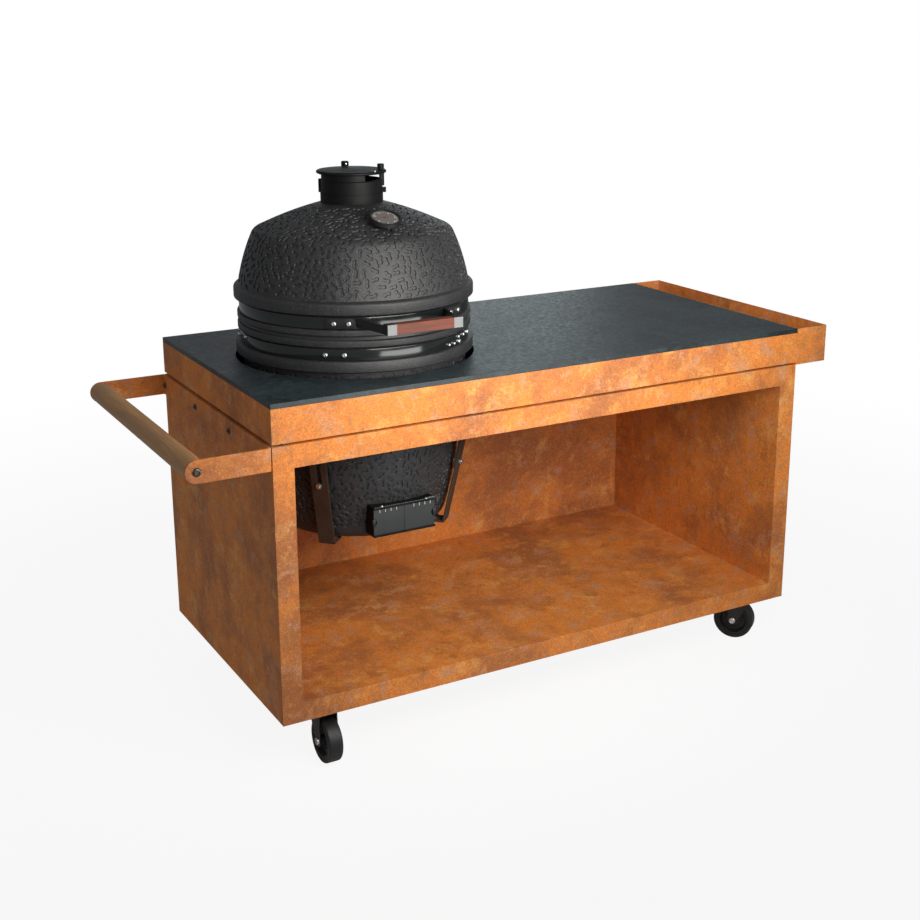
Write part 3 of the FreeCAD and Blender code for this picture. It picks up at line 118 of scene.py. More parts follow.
# %% World
bpy.context.scene.view_settings.view_transform = "Standard"
world = bpy.data.worlds.new("studio_sky")
bpy.context.scene.world = world
world.use_nodes = True
world.node_tree.nodes.clear()
sky = world.node_tree
sky_rays = add_node(sky, "ShaderNodeLightPath")
seen = add_node(sky, "ShaderNodeMath", {"operation": "MAXIMUM"},
                n0=sky_rays.outputs["Is Camera Ray"], n1=sky_rays.outputs["Is Transmission Ray"])
sky_dim = add_node(sky, "ShaderNodeBackground", Color=(0.93, 0.96, 1.0, 1.0), Strength=0.29)
sky_white = add_node(sky, "ShaderNodeBackground", Color=(1.0, 1.0, 1.0, 1.0), Strength=1.0)
sky_mix = add_node(sky, "ShaderNodeMixShader", n0=seen.outputs[0], n1=sky_dim.outputs[0],
                   n2=sky_white.outputs[0])
add_node(sky, "ShaderNodeOutputWorld", Surface=sky_mix.outputs[0])

# %% Floor
floor_mesh = bpy.data.meshes.new("studio_floor")
bm = bmesh.new()
bmesh.ops.create_grid(bm, x_segments=1, y_segments=1, size=40.0)
bm.to_mesh(floor_mesh)
bm.free()
studio_floor = bpy.data.objects.new("studio_floor", floor_mesh)
bpy.context.scene.collection.objects.link(studio_floor)
pale = bpy.data.materials.new("pale_floor")
pale.use_nodes = True
pale.node_tree.nodes.clear()
tree = pale.node_tree
floor_rays = add_node(tree, "ShaderNodeLightPath")
floor_paint = add_node(tree, "ShaderNodeBsdfDiffuse", Color=(0.86, 0.86, 0.86, 1.0))
floor_glow = add_node(tree, "ShaderNodeEmission", Color=(1.0, 1.0, 1.0, 1.0), Strength=1.0)
floor_place = add_node(tree, "ShaderNodeTexCoord").outputs["Object"]
floor_reach = add_node(tree, "ShaderNodeVectorMath", {"operation": "LENGTH"},
                       n0=floor_place).outputs["Value"]
glow_share = multiply(tree, floor_rays.outputs["Is Camera Ray"],
                      remap(tree, floor_reach, 1.0, 3.5, 0.9, 1.0))
floor_mix = add_node(tree, "ShaderNodeMixShader", n0=glow_share, n1=floor_paint.outputs[0],
                     n2=floor_glow.outputs[0])
add_node(tree, "ShaderNodeOutputMaterial", Surface=floor_mix.outputs[0])
floor_mesh.materials.append(pale)


# %% Lamps
def add_softbox(name, location, target, size, power, colour=(1.0, 1.0, 1.0), spread=180.0):
    """Rectangular lamp that looks at a target; a small spread keeps its light near the target."""
    lamp = bpy.data.lights.new(name, "AREA")
    lamp.shape = "RECTANGLE"
    lamp.size, lamp.size_y = size
    lamp.energy = power
    lamp.color = colour
    lamp.spread = math.radians(spread)
    softbox = bpy.data.objects.new(name, lamp)
    softbox.location = location
    look = Vector(target) - Vector(location)
    softbox.rotation_euler = look.to_track_quat("-Z", "Y").to_euler()
    softbox.visible_camera = False
    bpy.context.scene.collection.objects.link(softbox)
    return softbox


add_softbox("front_softbox", (-0.03, -1.38, 1.36), (-0.02, 0.0, 0.95), (1.2, 0.8), 14.6,
            (1.0, 0.98, 0.94), 110.0)
add_softbox("rear_softbox", (1.5, 2.9, 1.6), (0.1, 0.0, 0.9), (1.4, 1.0), 7.0, (0.86, 0.98, 1.0))
band_glow = add_softbox("band_glow", (0.15, -1.45, 0.62), (GRILL_X, 0.0, 0.97), (1.1, 0.34), 7.0)
band_glow.visible_diffuse = False

# %% [markdown]
# ## Effects that several materials share
# Each effect is a node group: it takes a position and a few values, and gives a colour, a
# roughness and a height that change over the surface. The shader itself stays in the material.

# %% Building a node group
COLOUR, VECTOR, VALUE = "NodeSocketColor", "NodeSocketVector", "NodeSocketFloat"


def start_group(name, inputs):
    """Shader group that takes a position and more inputs, each (name, kind, default)."""
    group = bpy.data.node_groups.new(name, "ShaderNodeTree")
    group.interface.new_socket("Position", in_out="INPUT", socket_type=VECTOR)
    for socket_name, kind, default in inputs:
        socket = group.interface.new_socket(socket_name, in_out="INPUT", socket_type=kind)
        socket.default_value = default
    return group, group.nodes.new("NodeGroupInput").outputs


def end_group(group, colour, roughness, height):
    """Let the group put out its colour, its roughness and its height."""
    for socket_name, kind in (("Color", COLOUR), ("Roughness", VALUE), ("Height", VALUE)):
        group.interface.new_socket(socket_name, in_out="OUTPUT", socket_type=kind)
    made = group.nodes.new("NodeGroupOutput").inputs
    for socket, value in zip(made, (colour, roughness, height)):
        group.links.new(value, socket)
    return group


def mix_colours(tree, factor, first, second):
    """Colour that lies the factor's share of the way from the first to the second."""
    mixer = add_node(tree, "ShaderNodeMix", {"data_type": "RGBA"}, n0=factor, n6=first, n7=second)
    return mixer.outputs[2]


def scale_axes(tree, position, factors):
    """Position with each of its axes scaled by its own factor."""
    return add_node(tree, "ShaderNodeVectorMath", {"operation": "MULTIPLY"},
                    n0=position, n1=factors).outputs[0]


def noise(tree, position, scale, detail, roughness, distortion=0.0):
    texture = add_node(tree, "ShaderNodeTexNoise", Vector=position, Scale=scale, Detail=detail,
                       Roughness=roughness, Distortion=distortion)
    return texture.outputs["Fac"]


# %% Rust patina
def build_patina():
    """Rust: clouds, islands, specks and flecks in five colours."""
    group, given = start_group(
        "rust_patina",
        [("Bright", COLOUR, (0.74, 0.225, 0.032, 1.0)),
         ("Dark", COLOUR, (0.40, 0.125, 0.036, 1.0)),
         ("Gold", COLOUR, (0.82, 0.40, 0.105, 1.0)), ("Olive", COLOUR, (0.42, 0.20, 0.055, 1.0)),
         ("Bloom", COLOUR, (0.55, 0.27, 0.15, 1.0))])
    position = given["Position"]
    other_place = add_node(group, "ShaderNodeMapping", Vector=position, Scale=(1.3, 1.3, 1.3))
    clouds = noise(group, position, 4.5, 7.0, 0.68, 0.15)
    islands = noise(group, position, 17.0, 8.0, 0.74, 0.2)
    other_islands = noise(group, other_place.outputs[0], 11.0, 8.0, 0.76, 0.1)
    specks = noise(group, position, 95.0, 6.0, 0.8)
    flecks = noise(group, position, 230.0, 4.0, 0.75)
    grain = noise(group, position, 380.0, 4.0, 0.75)
    colour = mix_colours(group, remap(group, clouds, 0.36, 0.58), given["Dark"], given["Bright"])
    for pattern, low, high, most, layer in (
            (other_islands, 0.50, 0.68, 0.75, "Gold"), (other_islands, 0.47, 0.34, 0.55, "Olive"),
            (islands, 0.52, 0.63, 0.68, "Bloom"), (islands, 0.46, 0.34, 0.70, "Dark"),
            (specks, 0.50, 0.68, 0.55, "Dark"), (specks, 0.46, 0.30, 0.40, "Gold"),
            (flecks, 0.53, 0.64, 0.34, "Dark"), (flecks, 0.46, 0.36, 0.30, "Gold")):
        share = remap(group, pattern, low, high, 0.0, most)
        colour = mix_colours(group, share, colour, given[layer])
    shaded = add_node(group, "ShaderNodeVectorMath", {"operation": "SCALE"}, n0=colour,
                      Scale=remap(group, grain, 0.30, 0.70, 0.66, 1.26)).outputs[0]
    height = add_node(group, "ShaderNodeMath", {"operation": "MULTIPLY_ADD"},
                      n0=specks, n1=0.8, n2=grain).outputs[0]
    return end_group(group, shaded, remap(group, islands, 0.3, 0.7, 0.6, 0.82), height)


# %% Fine grain for paint, glaze and plastic
def build_fine_grain():
    """Even colour with faint clouds and fine pale specks."""
    group, given = start_group(
        "fine_grain",
        [("Scale", VALUE, 400.0), ("Colour", COLOUR, (0.1, 0.1, 0.1, 1.0)), ("Shift", VALUE, 0.15),
         ("Specks", VALUE, 0.01), ("Roughness Low", VALUE, 0.3), ("Roughness High", VALUE, 0.5)])
    pale_grey = (0.5, 0.5, 0.5, 1.0)
    broad = noise(group, given["Position"], 9.0, 5.0, 0.6, 0.4)
    fine = noise(group, given["Position"], given["Scale"], 3.0, 0.6)
    clouds = multiply(group, remap(group, broad, 0.3, 0.7), given["Shift"])
    specks = multiply(group, remap(group, fine, 0.56, 0.74), given["Specks"])
    clouded = mix_colours(group, clouds, given["Colour"], pale_grey)
    roughness = add_node(group, "ShaderNodeMapRange", Value=broad, From_Min=0.3, From_Max=0.7,
                         To_Min=given["Roughness Low"], To_Max=given["Roughness High"]).outputs[0]
    return end_group(group, mix_colours(group, specks, clouded, pale_grey), roughness, fine)


# %% Brushed or plated steel
def build_brushed():
    """Metal with fine lines along one axis."""
    group, given = start_group(
        "brushed_metal",
        [("Stretch", VECTOR, (40.0, 40.0, 900.0)), ("Colour", COLOUR, (0.6, 0.6, 0.62, 1.0))])
    scaled = scale_axes(group, given["Position"], given["Stretch"])
    lines = noise(group, scaled, 1.0, 4.0, 0.6)
    lined = mix_colours(group, remap(group, lines, 0.3, 0.7, 0.0, 0.3), given["Colour"],
                        (0.25, 0.25, 0.26, 1.0))
    return end_group(group, lined, remap(group, lines, 0.3, 0.7, 0.22, 0.42), lines)


# %% Wood grain along one axis
def build_wood_grain():
    """Wood with rings and pores drawn out along one axis."""
    group, given = start_group(
        "wood_grain",
        [("Along", VECTOR, (1.0, 1.0, 1.0)), ("Light", COLOUR, (0.4, 0.2, 0.1, 1.0)),
         ("Dark", COLOUR, (0.2, 0.09, 0.04, 1.0))])
    scaled = scale_axes(group, given["Position"], given["Along"])
    rings = noise(group, scaled, 1.0, 5.0, 0.55, 1.4)
    pores = noise(group, scaled, 5.0, 3.0, 0.6)
    base = mix_colours(group, remap(group, rings, 0.32, 0.68), given["Dark"], given["Light"])
    pored = mix_colours(group, remap(group, pores, 0.55, 0.7, 0.0, 0.6), base, given["Dark"])
    return end_group(group, pored, remap(group, rings, 0.3, 0.7, 0.42, 0.62), pores)


PATINA = build_patina()
FINE_GRAIN = build_fine_grain()
BRUSHED = build_brushed()
WOOD_GRAIN = build_wood_grain()
print("shared effects:", [group.name for group in bpy.data.node_groups])

# %% [markdown]
# ## Materials
# One helper starts each material: it places an effect, joins its colour, roughness and height to
# the Principled shader, and sets the values that stay the same all over the surface.


# %% Starting and ending a material
def start_material(name):
    """Empty material, its node tree and the place on the object."""
    material = bpy.data.materials.new(name)
    material.use_nodes = True
    tree = material.node_tree
    tree.nodes.clear()
    return material, tree, add_node(tree, "ShaderNodeTexCoord").outputs["Object"]


def end_material(tree, shader, bump, height):
    """Give the shader its relief and show it; bump is (strength, distance in metres)."""
    relief = add_node(tree, "ShaderNodeBump", Strength=bump[0], Distance=bump[1], Height=height)
    tree.links.new(relief.outputs[0], shader.inputs["Normal"])
    add_node(tree, "ShaderNodeOutputMaterial", Surface=shader.outputs[0])


def finish_material(name, effect, values, bump, **shader_values):
    """Material from one shared effect."""
    material, tree, where = start_material(name)
    look = add_node(tree, "ShaderNodeGroup", {"node_tree": effect}, Position=where)
    for key, value in values.items():
        look.inputs[key].default_value = value
    shader = add_node(tree, "ShaderNodeBsdfPrincipled", Base_Color=look.outputs["Color"],
                      Roughness=look.outputs["Roughness"], **shader_values)
    end_material(tree, shader, bump, look.outputs["Height"])
    return material


def grained(name, colour, shift, scale, roughness, bump, specks=0.01, **shader_values):
    """Material of fine grain; roughness is (lowest, highest)."""
    values = {"Colour": (*colour, 1.0), "Shift": shift, "Specks": specks, "Scale": scale,
              "Roughness Low": roughness[0], "Roughness High": roughness[1]}
    return finish_material(name, FINE_GRAIN, values, bump, **shader_values)


# %% The finishes
weathered_steel = finish_material(
    "weathered_steel", PATINA, {}, (0.3, 0.0007), Specular_IOR_Level=0.4)
strap_steel = finish_material(
    "strap_steel", PATINA,
    {"Bright": (0.048, 0.023, 0.011, 1.0), "Dark": (0.028, 0.014, 0.007, 1.0),
     "Gold": (0.060, 0.030, 0.015, 1.0), "Olive": (0.035, 0.020, 0.010, 1.0),
     "Bloom": (0.045, 0.028, 0.018, 1.0)}, (0.12, 0.0004), Specular_IOR_Level=0.35)
dark_steel = finish_material(
    "dark_steel", BRUSHED, {"Colour": (0.08, 0.07, 0.06, 1.0)}, (0.1, 0.0002), Metallic=0.9)
bright_steel = finish_material(
    "bright_steel", BRUSHED, {"Colour": (0.72, 0.72, 0.73, 1.0)}, (0.05, 0.0001), Metallic=1.0)
rod_wood = finish_material(
    "rod_wood", WOOD_GRAIN,
    {"Along": (60.0, 5.0, 60.0), "Light": (0.50, 0.25, 0.085, 1.0),
     "Dark": (0.34, 0.165, 0.055, 1.0)}, (0.2, 0.0004))
grip_wood = finish_material(
    "grip_wood", WOOD_GRAIN,
    {"Along": (9.0, 90.0, 90.0), "Light": (0.165, 0.044, 0.023, 1.0),
     "Dark": (0.095, 0.025, 0.013, 1.0)}, (0.2, 0.0003), Specular_IOR_Level=0.25)
glazed_ceramic = grained("glazed_ceramic", (0.017, 0.0168, 0.0177), 0.012, 330.0, (0.45, 0.54),
                         (0.8, 0.0012), 0.13, Specular_IOR_Level=0.43)
fire_clay = grained("fire_clay", (0.50, 0.38, 0.26), 0.2, 300.0, (0.8, 0.95), (0.4, 0.001))
gloss_enamel = grained("gloss_enamel", (0.007, 0.009, 0.0085), 0.004, 500.0, (0.10, 0.16),
                       (0.03, 0.0003), Specular_IOR_Level=0.6)
matt_enamel = grained("matt_enamel", (0.007, 0.007, 0.0072), 0.006, 900.0, (0.44, 0.58),
                      (0.15, 0.0003), Specular_IOR_Level=0.4)
draft_enamel = grained("draft_enamel", (0.022, 0.026, 0.025), 0.015, 900.0, (0.36, 0.46),
                       (0.12, 0.0003))
# Lighter than the doors: partly the rails' own tone, partly a painted highlight on the lower
# rail's lip.
rail_tone_and_highlight = grained("rail_tone_and_highlight", (0.060, 0.068, 0.068), 0.03, 900.0, (0.28, 0.4),
                      (0.1, 0.0002))
wheel_rubber = grained("wheel_rubber", (0.010, 0.010, 0.010), 0.010, 600.0, (0.45, 0.6),
                       (0.15, 0.0004), Specular_IOR_Level=0.4)
fork_enamel = grained("fork_enamel", (0.012, 0.012, 0.0122), 0.006, 900.0, (0.3, 0.4),
                      (0.1, 0.0003), Specular_IOR_Level=0.5)
plate_steel = grained("plate_steel", (0.17, 0.172, 0.175), 0.06, 700.0, (0.5, 0.62),
                      (0.1, 0.0001), 0.1, Metallic=0.35)
cast_iron = grained("cast_iron", (0.0025, 0.0025, 0.0026), 0.003, 700.0, (0.5, 0.62),
                    (0.3, 0.0004), Specular_IOR_Level=0.17)
gasket_felt = grained("gasket_felt", (0.018, 0.018, 0.018), 0.02, 1200.0, (0.3, 0.42),
                      (0.4, 0.0005))
dial_paint = grained("dial_paint", (0.115, 0.104, 0.099), 0.05, 800.0, (0.35, 0.45),
                     (0.05, 0.0002))
needle_paint = grained("needle_paint", (0.16, 0.045, 0.03), 0.02, 900.0, (0.35, 0.45),
                       (0.05, 0.0001))
pale_paint = grained("pale_paint", (0.55, 0.53, 0.49), 0.1, 900.0, (0.45, 0.6), (0.05, 0.0001))


# %% Slate worktop: blue-grey clouds under a satin skin
def build_slate():
    """Slate: clouds, veils, mottles and specks, each lighter than the one below."""
    material, tree, where = start_material("slate_top")
    clouds = noise(tree, where, 6.5, 8.0, 0.68, 0.15)
    veils = noise(tree, where, 34.0, 7.0, 0.72, 0.2)
    mottles = noise(tree, where, 105.0, 5.0, 0.75)
    specks = noise(tree, where, 260.0, 3.0, 0.7)
    colour = (0.009, 0.013, 0.015, 1.0)
    for pattern, low, high, most, lighter in (
            (clouds, 0.38, 0.66, 1.0, (0.021, 0.034, 0.038, 1.0)),
            (veils, 0.48, 0.66, 0.6, (0.036, 0.054, 0.058, 1.0)),
            (mottles, 0.50, 0.66, 0.5, (0.045, 0.068, 0.072, 1.0)),
            (specks, 0.54, 0.70, 0.35, (0.09, 0.115, 0.115, 1.0))):
        colour = mix_colours(tree, remap(tree, pattern, low, high, 0.0, most), colour, lighter)
    shader = add_node(tree, "ShaderNodeBsdfPrincipled", Base_Color=colour,
                      Roughness=remap(tree, mottles, 0.35, 0.65, 0.38, 0.54),
                      Specular_IOR_Level=0.4)
    end_material(tree, shader, (0.2, 0.0004), specks)
    return material


slate_top = build_slate()


# %% Dressing the solids that keep their shape
def dress(material, *names):
    """Give whole solids one finish."""
    for name in names:
        for material_slot in nodes[name].material_slots:
            material_slot.material = material


def round_edges(width, *names):
    """Soften the sharp edges of solids whose shape is right.

    Weld joins their loose triangles, and Decimate clears the lines that cross flat faces.
    """
    for name in names:
        weld = nodes[name].modifiers.new("joined", "WELD")
        weld.merge_threshold = 0.00001
        flat = nodes[name].modifiers.new("flat_faces", "DECIMATE")
        flat.decimate_type = "DISSOLVE"
        flat.angle_limit = math.radians(0.2)
        bevel = nodes[name].modifiers.new("soft_edges", "BEVEL")
        bevel.width = width
        bevel.segments = 2
        bevel.limit_method = "ANGLE"
        bevel.angle_limit = math.radians(40.0)
        bevel.harden_normals = True


CORNERS = ("front_left", "front_right", "rear_left", "rear_right")
dress(weathered_steel, "left_side_panel", "right_side_panel", "floor_panel", "back_panel",
      "front_lintel", "top_frame", "push_handle_bracket", "planter_trough")
# The straps wear their own dark patina; the support plate takes it as painted shade, so the gap
# round the grill reads dark.
dress(strap_steel, "upper_hanger_straps", "lower_hanger_straps", "support_plate")
dress(slate_top, "worktop_slab")
dress(dark_steel, "gap_spacers", "rod_bolts", "panel_bolts")
dress(bright_steel, "hanger_bolts", "hanger_pads", "base_band_bolts", "lid_band_bolts",
      "hinge_pin", "charcoal_grate", "cooking_grate")
dress(plate_steel, "lid_handle_plates")
dress(rod_wood, "push_handle_rod")
dress(grip_wood, "lid_handle_grip")
dress(matt_enamel, "hinge_base_bracket", "hinge_lid_bracket", "lid_handle_arms",
      "thermometer_case", "caster_plates")
dress(cast_iron, "draft_box", "vent_base", "vent_ring", "vent_pivot_pin", "vent_cap", "vent_knob")
dress(draft_enamel, "left_draft_door", "right_draft_door")
dress(gasket_felt, "base_gasket", "lid_gasket")
dress(fire_clay, "fire_box", "fire_ring")
dress(dial_paint, "thermometer_dial")
dress(needle_paint, "thermometer_needle")
for corner in CORNERS:
    dress(fork_enamel, f"caster_fork_{corner}")
    round_edges(0.0006, f"caster_fork_{corner}")
round_edges(0.0012, "top_frame", "push_handle_bracket", "planter_trough")
round_edges(0.0008, "worktop_slab", "upper_hanger_straps", "lower_hanger_straps", "draft_box",
            "left_draft_door", "right_draft_door", "lid_handle_arms")

# %% [markdown]
# ## Ceramic shells with their pressed marks
# The base and the lid of such a grill are cast in a mould, and short marks pressed into the
# outside hide the thickness of the glaze. A bump texture would leave the outline smooth, so the
# marks are cut into the mesh. The outside of a shell is unrolled, the outlines of the marks are
# laid on it, and a triangulation fills the surface between them. Then everything is laid back on
# the shell, and each mark gets its walls and its floor.


# %% Profile helpers, in millimetres from the foot of the grill
def arc(first, middle, last, count):
    """Points along the circle through three points, without the first."""
    a, b, c = (Vector((*point, 0.0)) for point in (first, middle, last))
    ab, ac = b - a, c - a
    cross = ab.cross(ac)
    centre = a + (cross.cross(ab) * ac.length_squared + ac.cross(cross) * ab.length_squared) / (
        2.0 * cross.length_squared)
    start, end = a - centre, c - centre
    turn = start.xy.angle_signed(end.xy)
    return [tuple((centre + Matrix.Rotation(-turn * step / count, 3, "Z") @ start).xy)
            for step in range(1, count + 1)]


def line(first, last, count):
    """Evenly spaced points along a straight side, without the first."""
    return [tuple(Vector(first).lerp(Vector(last), step / count)) for step in range(1, count + 1)]


def turn_outline(bm, points, rim, centre, axis, steps):
    """Turn an outline right round an axis and join it where it meets itself."""
    bmesh.ops.spin(bm, geom=points + rim, cent=centre, axis=axis, angle=math.tau, steps=steps,
                   use_merge=True)
    bmesh.ops.remove_doubles(bm, verts=bm.verts, dist=1e-6)
    bmesh.ops.recalc_face_normals(bm, faces=bm.faces)
    return bm


def spun(outline, steps, closed=True):
    """Outline turned about the grill's axis; it closes on itself unless a side is to be added."""
    bm = bmesh.new()
    points = [bm.verts.new((GRILL_X + radius * MM, 0.0, GRILL_FOOT + height * MM))
              for radius, height in outline]
    rim = [bm.edges.new((first, last))
           for first, last in zip(points, points[1:] + points[:1] * closed)
           if max(first.co.x, last.co.x) - GRILL_X > 0.01 * MM]
    return turn_outline(bm, points, rim, (GRILL_X, 0.0, 0.0), (0.0, 0.0, 1.0), steps)


def bevel_edges(bm, edges, width, steps):
    """Round some edges of a bmesh."""
    bmesh.ops.bevel(bm, geom=edges, offset=width, offset_type="OFFSET", affect="EDGES",
                    segments=steps, profile=0.5, material=-1, clamp_overlap=True)


def soften(bm, width, keep=lambda height: True, steps=2, angle=25.0):
    """Round the sharp edges of a solid whose ends lie at heights that keep lets through."""
    bevel_edges(bm, [
        edge for edge in bm.edges
        if len(edge.link_faces) == 2 and edge.calc_face_angle() > math.radians(angle)
        and all(keep((vert.co.z - GRILL_FOOT) / MM) for vert in edge.verts)], width, steps)


def add_piece(name, bm, body, slot, material, *replaced):
    """Finished piece from a bmesh: it rides on a body and may stand for solids."""
    mesh = bpy.data.meshes.new(name)
    bm.to_mesh(mesh)
    bm.free()
    mesh.shade_smooth()
    mesh.set_sharp_from_angle(angle=math.radians(35.0))
    mesh.materials.append(material)
    piece = bpy.data.objects.new(name, mesh)
    bpy.context.scene.collection.objects.link(piece)
    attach(piece, body)
    if replaced:
        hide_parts(*replaced)
    print(name, "has", len(mesh.polygons), "faces")
    return piece


# %% The unrolled side of a shell
class ShellSide:
    """Outside of a shell: a turn about the grill's axis and a length along its side line."""

    def __init__(self, points):
        self.points = [Vector(point) for point in points]
        self.lengths, self.spans = [0.0], [0.0]
        for first, last in zip(self.points, self.points[1:]):
            step = (last - first).length
            self.lengths.append(self.lengths[-1] + step)
            self.spans.append(self.spans[-1] + 2.0 * step / (first.x + last.x))
        pairs = zip(self.points[:1] + self.points[:-1], self.points[1:] + self.points[-1:])
        self.normals = [Vector((last.y - first.y, first.x - last.x)).normalized()
                        for first, last in pairs]
        self.total = self.lengths[-1]

    def between(self, values, length):
        """Value at a length, from the values at the points of the side line."""
        index = min(max(bisect.bisect(self.lengths, length) - 1, 0), len(self.lengths) - 2)
        share = (length - self.lengths[index]) / (self.lengths[index + 1] - self.lengths[index])
        return values[index] * (1.0 - share) + values[index + 1] * share

    def radius(self, length):
        """Distance from the grill's axis at a length."""
        return self.between(self.points, length).x

    def place(self, turn, length, depth=0.0):
        """Point in space, sunk by a depth below the surface. A turn of 0 looks to the front."""
        spot = self.between(self.points, length) - self.between(self.normals, length) * depth
        return Vector((GRILL_X + spot.x * MM * math.sin(turn), -spot.x * MM * math.cos(turn),
                       GRILL_FOOT + spot.y * MM))

    def flat(self, turn, length):
        """Point on the unrolled side, where small shapes keep their angles."""
        return Vector((turn, self.between(self.spans, length)))

    def level(self, height):
        """Length along the side line at a height."""
        return min(zip(self.lengths, self.points), key=lambda pair: abs(pair[1].y - height))[0]


# %% The form of one mark: a dumbbell with a slight bend, in millimetres
MARK_HALF, MARK_END, MARK_WAIST, MARK_BEND = 5.4, 4.7, 3.1, 1.1
MARK_DEPTH, MARK_WALL, MARK_LIP, LIP_DEPTH = 2.6, 1.1, 0.5, 0.12
MARK_REACH = MARK_END + MARK_LIP
MARK_GAP = 2.0 * MARK_REACH + 0.4
END_ANGLES = (40.0, 80.0, 118.0)


def mark_outline(offset):
    """Outline at an offset from the mark's edge: pairs of run along and distance across."""
    end, waist = MARK_END + offset, MARK_WAIST + offset
    quarter = [(MARK_HALF + end * math.cos(angle), end * math.sin(angle))
               for angle in map(math.radians, END_ANGLES)]
    quarter.append((MARK_HALF * 0.28, waist * 1.03))
    upper = quarter + [(0.0, waist)] + [(-run, across) for run, across in reversed(quarter)]
    lower = [(-run, -across) for run, across in upper]
    return [(MARK_HALF + end, 0.0)] + upper + [(-MARK_HALF - end, 0.0)] + lower


def on_side(shell, mark, run, across):
    """Turn and length of a point of a mark."""
    turn, length, lean, bend = mark
    across += bend * math.sin(max(-1.0, min(run / MARK_HALF, 1.0)) * 1.9)
    length += run * math.sin(lean) + across * math.cos(lean)
    return turn + (run * math.cos(lean) - across * math.sin(lean)) / shell.radius(length), length


# %% Scattering them
class Crowd:
    """Points in space that keep their distance from each other."""

    def __init__(self, cell):
        self.cell, self.taken = cell, {}

    def home(self, spot):
        """Cell that a point lies in."""
        return tuple(int(value // self.cell) for value in spot)

    def near(self, spot, gap):
        """Whether a point of the crowd lies nearer than a gap, which is no wider than a cell."""
        x, y, z = self.home(spot)
        return any((other - spot).length_squared < gap * gap
                   for dx in (-1, 0, 1) for dy in (-1, 0, 1) for dz in (-1, 0, 1)
                   for other in self.taken.get((x + dx, y + dy, z + dz), ()))

    def add(self, spot):
        """Take a point in."""
        self.taken.setdefault(self.home(spot), []).append(spot)


def scatter_marks(shell, allowed, tries, seed):
    """Marks that keep clear of each other, of the seam at the back and of places not allowed."""
    draw = random.Random(seed)
    widest = max(point.x for point in shell.points)
    crowd, marks = Crowd(MARK_GAP * MM), []
    for _ in range(tries):
        mark = (draw.uniform(-math.pi, math.pi), draw.uniform(0.0, shell.total),
                draw.uniform(0.0, math.pi), draw.uniform(-MARK_BEND, MARK_BEND))
        if draw.random() > shell.radius(mark[1]) / widest:
            continue
        ends = [on_side(shell, mark, run, 0.0) for run in (-MARK_HALF, 0.0, MARK_HALF)]
        if any((math.pi - abs(turn)) * shell.radius(length) < MARK_REACH + 1.0
               or not allowed(turn, length) for turn, length in ends):
            continue
        spots = [shell.place(turn, length) for turn, length in ends]
        if not any(crowd.near(spot, MARK_GAP * MM) for spot in spots):
            marks.append(mark)
            for spot in spots:
                crowd.add(spot)
    print("marks pressed in:", len(marks))
    return marks, crowd


# %% Cutting them in
SHELL_STEPS, SEAM_GAP = 288, 3e-5
GRID_STEP, GRID_CLEARANCE, LEAST_COLUMNS = 7.0, 2.2, 24
HOLE_LOW, HOLE_HIGH, HOLE_HALF, HOLE_RADIUS = 36.0, 76.0, 50.0, 228.0
HOLE_MIDDLE, CLEAR_ASIDE, CLEAR_ABOVE = (HOLE_LOW + HOLE_HIGH) / 2, 66.0, 26.0


